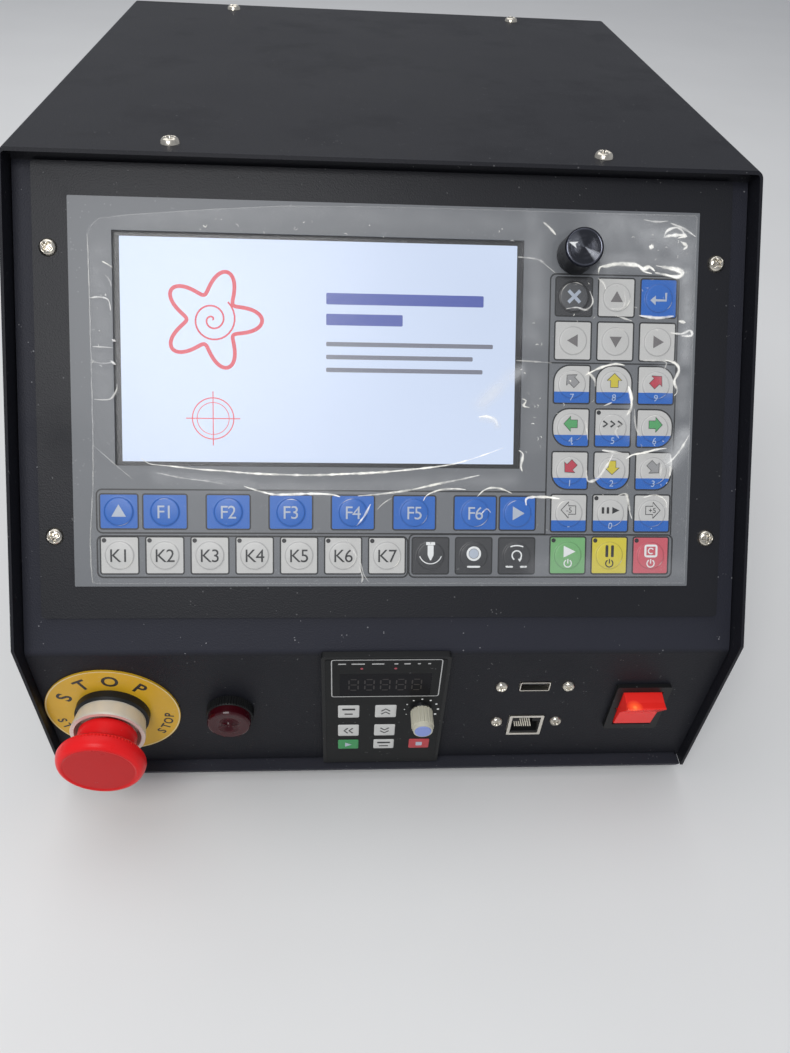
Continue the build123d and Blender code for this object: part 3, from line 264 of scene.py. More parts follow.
def dust_group():
    """Small pale specks and soft smudges, as masks from 0 to 1."""
    g, given, out = effect("Dust And Smudges", {"Speck Scale": 700.0, "Speck Share": 0.06, "Smudge Share": 0.15},
                           ("Specks", "Smudges"))
    where = g.where()
    cells = g.add("ShaderNodeTexVoronoi")
    g.join(where, cells.inputs["Vector"])
    g.join(given["Speck Scale"], cells.inputs["Scale"])
    keep = g.math("LESS_THAN", g.noise(where, 240.0), g.math("ADD", 0.36, given["Speck Share"]))
    g.join(g.math("MULTIPLY", keep, g.math("LESS_THAN", cells.outputs["Distance"], 0.22)), out["Specks"])
    clouds = g.math("MAXIMUM", g.math("SUBTRACT", g.noise(where, 22.0, 5.0, 0.62), 0.52), 0.0)
    g.join(g.math("MULTIPLY", clouds, g.math("MULTIPLY", given["Smudge Share"], 10.0)), out["Smudges"])


def spun_group():
    """Fine rings about a point, as lathe marks."""
    g, given, out = effect("Spun Rings", {"Centre": (0, 0, 0), "Ring Scale": 5200.0}, ("Height",))
    reach = g.vector("LENGTH", g.vector("SUBTRACT", g.where(), given["Centre"]))
    g.join(g.math("SINE", g.math("MULTIPLY", reach, given["Ring Scale"])), out["Height"])


# Finishes: base colour or its name above, roughness, grain (its scale, patch scale, patch depth, bump strength
# and bump distance), dust (share of specks and of smudges), other constants and the nodes that wear it
SPECULAR = "Specular IOR Level"
COAT = (1700.0, 9.0, 0.16, 0.6, 0.00018)
Look = namedtuple("Look", "base roughness grain dust shader nodes",
                  defaults=(0.5, (1800.0, 20.0, 0.06, 0.05, 0.00005), None, {}, ""))
LOOKS = {
    "textured powder coat": Look("shell", 0.52, COAT, (-0.03, 0.2), {SPECULAR: 0.22}, "outer_cover rear_panel"),
    "textured front coat": Look("shell", 0.52, COAT, (-0.03, 0.2), {SPECULAR: 0.22}, "front_fascia"),
    # The tray's base colour is lightened as painted light; its specks and smudges are dust.
    "dusty coat with painted light": Look("lip", 0.6, COAT, (0.03, 0.35), {}, "base_tray"),
    "satin plate coat": Look("plate", 0.44, (1800.0, 12.0, 0.10, 0.5, 0.00014), (-0.02, 0.2), {SPECULAR: 0.3},
                             "controller_plate"),
    "foot rubber": Look((0.02, 0.02, 0.021), 0.75, (900.0, 40.0, 0.1, 0.3, 0.0001), nodes="rubber_feet"),
    "nickel plate": Look((0.64, 0.60, 0.52), 0.22, (420.0, 300.0, 0.5, 0.5, 0.0002), shader={"Metallic": 1.0}),
    "blackened screw": Look((0.05, 0.05, 0.055), 0.35, (420.0, 200.0, 0.3, 0.3, 0.0001), shader={"Metallic": 0.8}),
    "zinc plate": Look((0.50, 0.52, 0.55), 0.36, (500.0, 120.0, 0.2, 0.1, 0.0001), None, {"Metallic": 1.0},
                       "foot_screws clinch_nuts plate_nuts module_screws controller_housing stop_stem encoder_body "
                       "encoder_shaft encoder_nut speed_pot speed_shaft"),
    "grey membrane": Look("membrane", 0.42, (1500.0, 30.0, 0.05, 0.06, 0.00004), (0.05, 0.2)),
    "outline ink": Look((0.014, 0.0145, 0.016), 0.38),
    "dark display frame": Look((0.010, 0.010, 0.012), 0.3, nodes="display_panel"),
    "board green": Look((0.02, 0.16, 0.06), 0.4, nodes="controller_board"),
    "clear pane": Look((0.9, 0.92, 0.95), 0.08, shader={"Alpha": 0.025}, nodes="display_window"),
    "black anodised": Look((0.010, 0.011, 0.017), 0.28, (900.0, 60.0, 0.1, 0.04, 0.00005), None, {"Metallic": 0.85},
                           "jog_knob"),
    "polished rim": Look((0.12, 0.125, 0.15), 0.18, (900.0, 60.0, 0.1, 0.03, 0.00003), shader={"Metallic": 1.0}),
    "stop red": Look("stop_red", 0.28, (600.0, 60.0, 0.06, 0.05, 0.0001), (0.0, 0.3), {SPECULAR: 0.16}, "stop_head"),
    "collar grey": Look("stop_grey", 0.36, (900.0, 50.0, 0.1, 0.08, 0.0001), None, {"Metallic": 0.25}, "stop_collar"),
    "black moulding": Look((0.012, 0.0125, 0.013), 0.42, (900.0, 50.0, 0.1, 0.12, 0.0001), (0.0, 0.2),
                           {SPECULAR: 0.25}, "stop_base stop_nut stop_contact_block lamp_body lamp_nut "
                           "drive_keypad_case rocker_body network_insert fan_frames fan_guards fan_rotor_left "
                           "fan_rotor_right mains_inlet spindle_drive stepper_drivers"),
    "label yellow": Look("label_yellow", 0.34, (500.0, 70.0, 0.14, 0.05, 0.0001), (0.05, 0.5), {},
                         "stop_label_ring"),
    "label rim": Look((0.72, 0.60, 0.32), 0.3),
    "socket nickel": Look((0.86, 0.82, 0.74), 0.3, (600.0, 120.0, 0.2, 0.1, 0.0001), None, {"Metallic": 1.0},
                          "usb_shell network_shield axis_sockets axis_socket_nuts power_supply"),
    "socket tongue": Look((0.015, 0.015, 0.015), 0.4, nodes="usb_insert"),
    "contact gold": Look((0.92, 0.84, 0.62), 0.3, shader={"Metallic": 1.0},
                         nodes="axis_socket_pins inlet_pins rocker_terminals"),
    # The network contacts glow faintly as a painted highlight.
    "contacts with painted glint": Look((0.92, 0.88, 0.76), 0.3, nodes="network_contacts",
                         shader={"Metallic": 0.2, "Emission Color": (0.9, 0.86, 0.74), "Emission Strength": 0.2}),
    "lamp lens": Look("lamp_red", 0.10, (600.0, 60.0, 0.1, 0.02, 0.0001), shader={SPECULAR: 0.35}),
    "drive face": Look((0.0115, 0.0120, 0.0125), 0.34, (1300.0, 40.0, 0.1, 0.06, 0.00004), (0.02, 0.3),
                       {SPECULAR: 0.14}, "drive_keypad_face"),
    "faint print": Look((0.48, 0.48, 0.47), 0.4),
    "dark window": Look((0.008, 0.008, 0.010), 0.22, (900.0, 30.0, 0.05, 0.01, 0.00002), shader={SPECULAR: 0.10}),
    "unlit digits": Look((0.020, 0.015, 0.015), 0.3),
    "speed beige": Look((0.58, 0.56, 0.45), 0.5, nodes="speed_knob"),
    "speed blue": Look((0.24, 0.31, 0.66), 0.45, nodes="speed_knob_cap"),
    "rocker red": Look("rocker_red", 0.25, (700.0, 60.0, 0.05, 0.03, 0.0001),
                       shader={"Emission Strength": 0.8, "Coat Weight": 0.15, SPECULAR: 0.25}),
}
INKS = {"white": "ink_white", "pale": (0.45, 0.50, 0.58), "dark": "ink_dark", "yellow": (0.62, 0.52, 0.05),
        "green": (0.09, 0.36, 0.13), "red": (0.50, 0.05, 0.08), "grey": (0.30, 0.30, 0.30),
        "mid": (0.17, 0.16, 0.16), "disc": (0.085, 0.087, 0.092), "digit": (0.42, 0.52, 0.70)}
LOOKS.update({f"{ink} ink": Look(tint, 0.38) for ink, tint in INKS.items()})
KEY_SETS = {"light": ("keys_light", "key_light"), "banded": ("keys_numbered", "key_light"),
            "blue": ("keys_blue", "key_blue"), "dark": ("keys_dark", "key_dark"), "green": ("key_start", "key_green"),
            "yellow": ("key_pause", "key_yellow"), "red": ("key_reset", "key_red")}
LOOKS.update({f"printed {kind} key": Look(tint, 0.30, (1500.0, 90.0, 0.05, 0.05, 0.00004), (0.0, 0.15), {SPECULAR: 0.4})
              for kind, (_, tint) in KEY_SETS.items()})
DRIVE_KEYS = {"white": (0.60, 0.60, 0.58), "green": (0.05, 0.30, 0.10), "red": (0.50, 0.05, 0.06)}
LOOKS.update({f"drive key {name}": Look(tint, 0.42, (1300.0, 60.0, 0.06, 0.06, 0.00004))
              for name, tint in DRIVE_KEYS.items()})


def new_look(name):
    """An empty material, its graph and its shader."""
    material = bpy.data.materials.new(name)
    material.use_nodes = True
    return material, Graph(material.node_tree), material.node_tree.nodes["Principled BSDF"]


def finish(name):
    """The material of a look, with grain, tone and dust from the shared groups, put on the nodes that wear it."""
    if name in bpy.data.materials:
        return bpy.data.materials[name]
    look = LOOKS[name]
    base = tuple(getattr(bpy.context.scene.console_colours, look.base) if isinstance(look.base, str) else look.base)
    material, g, shader = new_look(name)
    set_inputs(shader, {"Base Color": base, **look.shader})
    scale, patch, depth, strength, distance = look.grain
    grain = g.group("Coat Grain", {"Grain Scale": scale, "Patch Scale": patch, "Patch Depth": depth})
    tinted = g.mix(1.0, base, grain["Tone"], "MULTIPLY")
    rough = g.math("MULTIPLY", grain["Tone"], look.roughness)
    if look.dust:
        dust = g.group("Dust And Smudges", {"Speck Share": look.dust[0], "Smudge Share": look.dust[1]})
        tinted = g.mix(g.math("MULTIPLY", dust["Specks"], 0.16), tinted, (0.5, 0.5, 0.5))
        rough = g.math("ADD", rough, g.math("MULTIPLY", dust["Smudges"], 0.2))
    g.join(tinted, shader.inputs["Base Color"])
    g.join(rough, shader.inputs["Roughness"])
    g.bump(shader, grain["Height"], strength, distance)
    paint(material, *look.nodes.split())
    return material


def retint(material, change):
    """Change a finish's colour; change gets the graph and the colour so far."""
    g = Graph(material.node_tree)
    slot = material.node_tree.nodes["Principled BSDF"].inputs["Base Color"]
    g.join(change(g, slot.links[0].from_socket), slot)


def painted_dome_ring(g, before):
    """Painted shade in a thin ring where the key's dome rises, with a faint painted highlight just inside it, by the
    key's own map.
    """
    reach = g.vector("DISTANCE", g.add("ShaderNodeUVMap", uv_map="key").outputs[0], (0.5, 0.5, 0.0))
    ring = g.ramp(reach, (4.85 / 20, 1.0), (5.1 / 20, 1.08), (5.45 / 20, (0.72, 0.72, 0.73)), (5.75 / 20, 1.0))
    return g.mix(1.0, before, ring, "MULTIPLY")


def lower_band(g, before):
    """The blue band on the lower part of a key, by the key's own map."""
    height = g.axis(g.add("ShaderNodeUVMap", uv_map="key").outputs[0], "Y")
    return g.mix(g.math("LESS_THAN", height, 0.5 - 2.9 / 20), before,
                 tuple(bpy.context.scene.console_colours.key_blue))


def painted_top_light(g, before):
    """Painted light: a paler tone where the surface faces up, lit more from above than the upright panel."""
    facing = g.axis(g.add("ShaderNodeTexCoord").outputs["Normal"], "Z")
    return g.mix(1.0, before, g.ramp(facing, (0.12, 1.0), (0.5, (2.3, 2.3, 2.35))), "MULTIPLY")


def painted_face_shade(g, before):
    """Painted shade: a deeper tone on the stop head's flat face, its rim left at the full colour."""
    centre = middle("stop_head")
    reach = g.vector("DISTANCE", g.where(), (centre.x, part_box("stop_head")[0].y, centre.z))
    return g.mix(1.0, before, g.ramp(g.math("MULTIPLY", reach, 50.0), (0.68, 0.66), (0.80, 1.0)), "MULTIPLY")


def glowing(name, tint, patch=0.0):
    """A softly lit finish whose light varies a little over its surface."""
    material, g, shader = new_look(name)
    glow = g.ramp(g.noise(g.where(), 9.0), (0.3, tuple(c * (1 - patch) for c in tint)), (0.7, tint))
    g.join(glow, shader.inputs["Emission Color"])
    set_inputs(shader, {"Base Color": (0.015, 0.015, 0.016), "Roughness": 0.3, "Emission Strength": 1.0})
    return material


def paint(material, *nodes):
    """Give CAD nodes or pieces one material."""
    for node in nodes:
        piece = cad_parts.get(node) if isinstance(node, str) else node
        if not piece.material_slots:
            piece.data.materials.append(material)
        for slot in piece.material_slots:
            slot.material = material


# Mesh building

def piece_from(mesh, name, body, material, smooth=False):
    """A finished bmesh in the row frame, as a piece that rides on a body."""
    data = bpy.data.meshes.new(name)
    mesh.to_mesh(data)
    mesh.free()
    made = bpy.data.objects.new(name, data)
    bpy.context.scene.collection.objects.link(made)
    if smooth:
        data.shade_smooth()
    paint(material, made)
    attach(made, body)
    return made


def arc_points(centre, radius, start, end, steps):
    """Points of an arc, angles in degrees."""
    return [(centre[0] + radius * math.cos(math.radians(start + (end - start) * k / steps)),
             centre[1] + radius * math.sin(math.radians(start + (end - start) * k / steps)))
            for k in range(steps + 1)]


def ring_points(radius, count, centre=(0, 0)):
    """Evenly spaced points of a full circle."""
    return arc_points(centre, radius, 0, 360 - 360 / count, count - 1)


def rounded(width, height, radii, steps=6, centre=(0, 0)):
    """Counter-clockwise rounded rectangle; radii top left, top right, bottom right, bottom left."""
    if isinstance(radii, (int, float)):
        radii = (radii,) * 4
    top_left, top_right, bottom_right, bottom_left = radii
    x, y = width / 2, height / 2
    points = []
    for corner, radius, start in (((x, y), top_right, 0), ((-x, y), top_left, 90),
                                  ((-x, -y), bottom_left, 180), ((x, -y), bottom_right, 270)):
        inward = (corner[0] - math.copysign(radius, corner[0]), corner[1] - math.copysign(radius, corner[1]))
        points += arc_points(inward, radius, start, start + 90, steps)
    return [(px + centre[0], py + centre[1]) for px, py in points]


def bar(width, height, radius=0.2, centre=(0, 0)):
    """A printed bar, its corners barely cut."""
    return rounded(width, height, radius, 1, centre)


def subdivided(outline, step):
    """The outline with points added along its long sides."""
    points = []
    for (ax, ay), (bx, by) in zip(outline, outline[1:] + outline[:1]):
        parts = max(1, math.ceil(math.hypot(bx - ax, by - ay) / step))
        points += [(ax + (bx - ax) * k / parts, ay + (by - ay) * k / parts) for k in range(parts)]
    return points


def stroke(points, width, closed=False):
    """A line of a given width as quads."""
    count = len(points)
    sides = []
    for k, point in enumerate(points):
        before = points[k - 1] if closed or k else point
        after = points[(k + 1) % count] if closed or k < count - 1 else point
        way = Vector((after[0] - before[0], after[1] - before[1]))
        way = way.normalized() if way.length > 1e-9 else Vector((1, 0))
        side = Vector((-way.y, way.x)) * width / 2
        here = Vector(point)
        sides.append((here + side, here - side))
    last = count if closed else count - 1
    return [[sides[k][0], sides[k][1], sides[(k + 1) % count][1], sides[(k + 1) % count][0]] for k in range(last)]


def moved(loops, dx, dy, scale=1.0, turn=0.0):
    """Loops scaled, turned by degrees and moved."""
    c, s = math.cos(math.radians(turn)) * scale, math.sin(math.radians(turn)) * scale
    return [[(c * p[0] - s * p[1] + dx, s * p[0] + c * p[1] + dy) for p in loop] for loop in loops]


def letters(text, height, spacing=1.0, weight=0.0):
    """Triangles of plain capitals and digits of a given height, thickened by a weight, centred on the origin."""
    curve = bpy.data.curves.new("letters", "FONT")
    curve.body = text
    curve.size = height / 0.7
    curve.space_character = spacing
    curve.offset = weight
    curve.align_x = "CENTER"
    curve.resolution_u = 4
    holder = bpy.data.objects.new("letters", curve)
    bpy.context.scene.collection.objects.link(holder)
    data = bpy.data.meshes.new_from_object(holder.evaluated_get(bpy.context.evaluated_depsgraph_get()))
    loops = [[(data.vertices[v].co.x, data.vertices[v].co.y - height / 2) for v in face.vertices]
             for face in data.polygons]
    bpy.data.objects.remove(holder)
    bpy.data.curves.remove(curve)
    bpy.data.meshes.remove(data)
    return loops


def laid(name, loops, place, height, material, cell=9.0, body="console"):
    """Flat shapes in local millimetres, cut fine and laid on a surface of a given height."""
    mesh = bmesh.new()
    for loop in loops:
        mesh.faces.new([mesh.verts.new((p[0], p[1], 0)) for p in loop])
    bmesh.ops.remove_doubles(mesh, verts=mesh.verts, dist=1e-4)
    bmesh.ops.triangulate(mesh, faces=mesh.faces)
    for _ in range(5):
        long_edges = [edge for edge in mesh.edges if edge.calc_length() > cell]
        if not long_edges:
            break
        bmesh.ops.subdivide_edges(mesh, edges=long_edges, cuts=1)
        bmesh.ops.triangulate(mesh, faces=mesh.faces)
    for vert in mesh.verts:
        vert.co.z = height(vert.co.x, vert.co.y) if callable(height) else height
    bmesh.ops.recalc_face_normals(mesh, faces=mesh.faces)
    for face in mesh.faces:
        if face.normal.z < 0:
            face.normal_flip()
    mesh.transform(place)
    return piece_from(mesh, name, body, material)


def strip(mesh, a, b, closed=False, flipped=False):
    """Quads between two rows of points."""
    count = len(a)
    for k in range(count if closed else count - 1):
        after = (k + 1) % count
        sides = (b[k], b[after], a[after]) if flipped else (a[after], b[after], b[k])
        mesh.faces.new((a[k], *sides))


def clamped(value):
    return max(0.0, min(1.0, value))


def smooth_step(low, high, value):
    t = clamped((value - low) / (high - low))
    return t * t * (3 - 2 * t)


def pan_head(mesh, place, radius, height, cross, turn, rings=14, steps=48):
    """Domed screw head with a pressed cross, as a height field over its disc."""
    rows = []
    spin = math.radians(turn)
    for ring in range(rings + 1):
        share = ring / rings
        r = radius * share
        row = []
        for k in range(steps if ring else 1):
            angle = 2 * math.pi * k / steps
            x, y = r * math.cos(angle), r * math.sin(angle)
            dome = height * (1 - 0.35 * share ** 2 - 0.65 * share ** 9)
            u = abs(x * math.cos(spin) + y * math.sin(spin))
            v = abs(-x * math.sin(spin) + y * math.cos(spin))
            wall = clamped((cross * 0.30 - min(u, v)) / (cross * 0.12))
            fade = clamped((cross - max(u, v)) / (cross * 0.25))
            row.append(mesh.verts.new(place @ Vector((x, y, dome - height * 0.62 * wall * fade))))
        rows.append(row)
    for k in range(steps):
        mesh.faces.new((rows[0][0], rows[1][k], rows[1][(k + 1) % steps]))
    for a, b in zip(rows[1:], rows[2:]):
        strip(mesh, a, b, closed=True, flipped=True)


def lathe(mesh, place, outline, steps):
    """Surface turned about the local z axis from (radius, height) points."""
    rows = []
    for radius, height in outline:
        ways = [2 * math.pi * k / steps for k in range(steps if radius > 1e-6 else 1)]
        row = [mesh.verts.new(place @ Vector((radius * math.cos(way), radius * math.sin(way), height))) for way in ways]
        rows.append(row * (steps // len(row)))
    for low, high in zip(rows, rows[1:]):
        for k in range(steps):
            corners = [low[k], high[k], high[(k + 1) % steps], low[(k + 1) % steps]]
            corners = [corner for n, corner in enumerate(corners) if corner not in corners[:n]]
            if len(corners) > 2:
                mesh.faces.new(corners)


def pillow(mesh, place, outline, height):
    """Low raised pad inside an outline, with a rounded edge."""
    rings = [[mesh.verts.new(place @ Vector((px * share, py * share, rise))) for px, py in outline]
             for share, rise in ((1.0, 0.0), (0.985, height * 0.7), (0.95, height), (0.6, height * 1.05))]
    for low, high in zip(rings, rings[1:]):
        strip(mesh, low, high, closed=True)
    hub = mesh.verts.new(place @ Vector((0, 0, height * 1.07)))
    for k in range(len(outline)):
        mesh.faces.new((rings[-1][k], rings[-1][(k + 1) % len(outline)], hub))


def separate_boxes(node):
    """Lowest and highest corner of each separate solid of a CAD node."""
    mesh = bmesh.new()
    mesh.from_mesh(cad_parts[node].data)
    bmesh.ops.remove_doubles(mesh, verts=mesh.verts, dist=1e-6)
    seen, boxes = set(), []
    for first in mesh.verts:
        if first in seen:
            continue
        seen.add(first)
        queue, part = [first], []
        while queue:
            vert = queue.pop()
            part.append(vert.co.copy())
            for edge in vert.link_edges:
                other = edge.other_vert(vert)
                if other not in seen:
                    seen.add(other)
                    queue.append(other)
        boxes.append((Vector([min(p[i] for p in part) for i in range(3)]),
                      Vector([max(p[i] for p in part) for i in range(3)])))
    mesh.free()
    return boxes


def soften(piece, width, segments, angle):
    """Small rounding of a piece's edges; angle in degrees."""
    rounding = piece.modifiers.new("edge rounding", "BEVEL")
    rounding.width = width
    rounding.segments = segments
    rounding.limit_method = "ANGLE"
    rounding.angle_limit = math.radians(angle)


# The keys of the membrane, in millimetres across the face and up from its fold

MEMBRANE = 0.7
SQUARE = 0.6
ROUND = 6.2
KEY_WIDTH = 14.2
ROW_START, ROW_PITCH = -105.0, 17.45
NUMBER_ROW, FUNCTION_ROW = 36.6, 53.8
PAD_LEFT, PAD_FOOT, PAD_PITCH = 73.0, 36.8, 17.15
DOME_EDGE, DOME_FOOT = 5.05, 5.8
# Direction keys that are round at a corner: top left, top right, bottom right, bottom left
ROUND_CORNERS = (("north_west", "north", "west"), ("north", "north_east", "east"), ("east", "south_east", "south"),
                 ("south", "south_west", "west"))
# The key pad's rows from below: mark and face finish
KEY_PAD = ("start green, pause yellow, reset red",
           "left_small banded, dot banded, right_small banded",
           "south_west banded, south banded, south_east banded",
           "west banded, centre banded, east banded",
           "north_west banded, north banded, north_east banded",
           "left light, down light, right light",
           "ring dark, up light, enter blue")


def key_table():
    """Every key: centre x, centre v, width, height, corner radii, face finish, mark."""
    row = [(ROW_START + ROW_PITCH * k, "light", f"K{k + 1}") for k in range(7)]
    row += [(17.15 + ROW_PITCH * k, "dark", mark) for k, mark in enumerate(("spindle", "wheel", "step"))]
    keys = [(x, NUMBER_ROW, KEY_WIDTH, 14.2, face, mark) for x, face, mark in row]
    row = [(ROW_START, KEY_WIDTH, "up")]
    row += [(-87.3 + 24.45 * k, 16.6, f"F{k + 1}") for k in range(6)]
    row += [(52.1, KEY_WIDTH, "right")]
    keys += [(x, FUNCTION_ROW, width, 13.2, "blue", mark) for x, width, mark in row]
    for row, entries in enumerate(KEY_PAD):
        for column, entry in enumerate(entries.split(", ")):
            mark, face = entry.split()
            keys.append((PAD_LEFT + PAD_PITCH * column, PAD_FOOT + PAD_PITCH * row, KEY_WIDTH, 14.6, face, mark))
    return [(*place, tuple(ROUND if mark in marks else SQUARE for marks in ROUND_CORNERS), face, mark)
            for *place, face, mark in keys]


KEYS = key_table()


def dome_height(x, v):
    """Height of a key's dome over the membrane, in millimetres."""
    reach = min((x - key[0]) ** 2 + (v - key[1]) ** 2 for key in KEYS) ** 0.5
    return 0.03 + 0.42 * (1 - smooth_step(DOME_EDGE, DOME_FOOT, reach)) + 0.14 * max(0.0, 1 - (reach / 5.0) ** 2)


def key_faces(keys, name, material, place):
    """Printed key shapes, cut in rings so that they follow the dome; their own coordinates are kept as a map."""
    mesh = bmesh.new()
    local = mesh.loops.layers.uv.new("key")
    spots = {}

    def vertex(x, v, px, py):
        made = mesh.verts.new((x + px, v + py, dome_height(x + px, v + py)))
        spots[made] = (px, py)
        return made

    for x, v, width, height, radii, _, _ in keys:
        outline = subdivided(rounded(width, height, radii, 6), 0.55)
        ways = [math.atan2(py, px) for px, py in outline]
        rings = [[vertex(x, v, r * math.cos(way), r * math.sin(way)) for way in ways]
                 for r in (1.6, 3.2, 4.3, 4.9, 5.1, 5.25, 5.42, 5.6, 5.8, 6.1)]
        for share in (0.25, 0.6, 1.0):
            rings.append([vertex(x, v, px * share + 6.2 * math.cos(way) * (1 - share),
                                 py * share + 6.2 * math.sin(way) * (1 - share))
                          for (px, py), way in zip(outline, ways)])
        hub = vertex(x, v, 0.0, 0.0)
        for k in range(len(outline)):
            mesh.faces.new((hub, rings[0][k], rings[0][(k + 1) % len(outline)]))
        for low, high in zip(rings, rings[1:]):
            strip(mesh, low, high, closed=True, flipped=True)
    for face in mesh.faces:
        for loop in face.loops:
            px, py = spots[loop.vert]
            loop[local].uv = (px / 20 + 0.5, py / 20 + 0.5)
    mesh.transform(place)
    return piece_from(mesh, name, "console", material, smooth=True)


TRIANGLE = [[(-2.5, -1.8), (2.5, -1.8), (0, 2.5)]]
ARROW = [[(-3.1, 0.2), (0, 3.1), (3.1, 0.2), (1.6, 0.2), (1.6, -2.6), (-1.6, -2.6), (-1.6, 0.2)]]
CROSS = [[(-2.4, -1.6), (-1.6, -2.4), (2.4, 1.6), (1.6, 2.4)], [(-2.4, 1.6), (-1.6, 2.4), (2.4, -1.6), (1.6, -2.4)]]
POINTERS = {"up": 0, "left": 90, "down": 180, "right": 270}
# Direction keys: turn of the arrow in degrees and its ink
ARROWS = {"north": (0, "yellow"), "north_west": (45, "grey"), "west": (90, "green"), "south_west": (135, "red"),
          "south": (180, "yellow"), "south_east": (225, "grey"), "east": (270, "green"), "north_east": (315, "red")}
DIGITS = {"north_west": "7", "north": "8", "north_east": "9", "west": "4", "centre": "5", "east": "6",
          "south_west": "1", "south": "2", "south_east": "3", "left_small": "-", "dot": "0", "right_small": "."}
DOTTED = ("centre", "dot", "start", "pause", "reset")


def key_symbols():
    """Symbols by mark: ink, loops and their shift from the key's centre."""
    outlined = stroke(ARROW[0], 0.34, True)
    chevron = stroke([(-1.1, -1.2), (0.6, 0), (-1.1, 1.2)], 0.75)
    power = stroke(arc_points((0, 0), 1.5, 120, 420, 16), 0.5) + [bar(0.5, 1.9, 0.1, (0, 0.9))]
    mill = [bar(3.6, 1.2, centre=(0, 4.3)), bar(2.4, 4.0, centre=(0, 1.6)),
            [(-1.2, -0.3), (1.2, -0.3), (0.2, -2.4), (-0.2, -2.4)]]
    gauge = (stroke(arc_points((0, 0), 1.9, -40, 240, 18), 0.55) + [[(0.4, -1.4), (2.2, -1.1), (1.3, -2.6)]]
             + stroke(arc_points((0, -3.0), 7.0, 68, 112, 10), 0.5))
    return {
        "left_small": [("dark", moved(outlined, 0, 0, 1.05, 90) + letters("-5", 2.1), 0, 1.3)],
        "right_small": [("dark", moved(outlined, 0, 0, 1.05, 270) + letters("+5", 2.1), 0, 1.3)],
        "centre": [("dark", chevron, x, 1.6) for x in (-3.0, 0.0, 3.0)],
        "dot": [("dark", [bar(1.0, 2.6, 0.1, (-3.2, 0)), bar(1.0, 2.6, 0.1, (-1.2, 0)),
                          [(0.6, -1.4), (3.6, 0), (0.6, 1.4)]], 0, 1.2)],
        "start": [("white", [[(-2.0, -2.4), (2.9, 0), (-2.0, 2.4)]], 0.2, 1.6), ("white", power, 0, -3.2)],
        "pause": [("dark", [bar(1.15, 4.8, centre=(x, 0)) for x in (-1.15, 1.15)], 0, 1.8),
                  ("dark", power, 0, -3.2)],
        "reset": [("white", stroke(rounded(4.6, 4.4, 0.5, 2), 0.85, True), 0, 1.9),
                  ("white", stroke(arc_points((0, 0), 1.1, 30, 310, 12), 0.5), 0, 1.9), ("white", power, 0, -3.2)],
        "spindle": [("white", mill, 0, 0.6), ("white", stroke(arc_points((0, 1.4), 4.6, 200, 340, 18), 0.4), 0, 0)],
        "wheel": [("white", stroke(ring_points(2.5, 24), 0.9, True), 0, 0.9), ("pale", [ring_points(1.9, 24)], 0, 0.9),
                  ("white", [bar(5.4, 0.8, 0.3)], 0, -4.4)],
        "step": [("white", gauge, 0, 0.2), ("white", [bar(3.0, 0.8, 0.3, (x, 0)) for x in (-2.9, 2.9)], 0, -4.4)],
        "ring": [("disc", [ring_points(5.6, 48)], 0, 0), ("dark", stroke(ring_points(5.95, 48), 0.9, True), 0, 0),
                 ("pale", moved(CROSS, 0, 0, 1.15), 0, 0)],
        "enter": [("pale", stroke([(2.8, 2.2), (2.8, -0.8), (-1.6, -0.8)], 0.9), 0, 0),
                  ("pale", [[(-1.4, 1.1), (-3.6, -0.8), (-1.4, -2.7)]], 0, 0)],
    }


def key_marks():
    """Loops of every printed mark, by ink."""
    inks = {ink: [] for ink in INKS}
    symbols = key_symbols()
    for x, v, width, height, _, face, mark in KEYS:
        if mark[1:].isdigit():
            inks["dark" if face == "light" else "pale"] += moved(letters(mark, 5.1, 0.90), x, v)
        if mark[0] == "K" or mark in DOTTED:
            inks["dark"] += moved([ring_points(0.9, 12)], x - width / 2 + 1.2, v + height / 2 - 1.2)
        if mark in POINTERS:
            ink, scale = ("pale", 1.12) if face == "blue" else ("mid", 1.0)
            inks[ink] += moved(TRIANGLE, x, v, scale, POINTERS[mark])
        if face == "banded":
            inks["digit"] += moved(letters(DIGITS[mark], 2.6), x, v - 5.0)
        if mark in ARROWS:
            turn, ink = ARROWS[mark]
            inks[ink] += moved(ARROW, x, v + 1.5, 0.98, turn)
            inks["dark"] += moved(stroke(ARROW[0], 0.26, True), x, v + 1.5, 0.98, turn)
        for ink, loops, dx, dv in symbols.get(mark, ()):
            inks[ink] += moved(loops, x + dx, v + dv)
    return inks


def frame_lines():
    """Thin outlines round the key fields and round each key."""
    left, right, low, shelf, top = -113.5, 115.4, 27.9, 45.2, 148.4
    middle_x, pad_left, bend = 8.5, 63.5, 2.2
    lines = stroke([(pad_left, 62.4)] + arc_points((left + bend, 60.2), bend, 90, 180, 5)
                   + arc_points((left + bend, shelf + 2.4), bend, 180, 270, 5) + [(pad_left, shelf + 0.2)], 0.6)
    for start, end, rise in ((left, middle_x - 0.5, 16.3), (middle_x, right + 0.8, shelf - low)):
        lines += stroke(rounded(end - start, rise, bend, 5, ((start + end) / 2, low + rise / 2)), 0.65, True)
    lines += stroke([(pad_left, shelf)] + arc_points((pad_left + bend, top - bend), bend, 180, 90, 5)
                    + arc_points((right - bend, top - bend), bend, 90, 0, 5) + [(right, shelf)], 0.6)
    lines += stroke([(pad_left, 113.8), (right, 113.8)], 0.55)
    for x, v, width, height, radii, _, _ in KEYS:
        lines += stroke(rounded(width + 0.5, height + 0.5, [r + 0.3 for r in radii], 7, (x, v)), 0.6, True)
    return lines
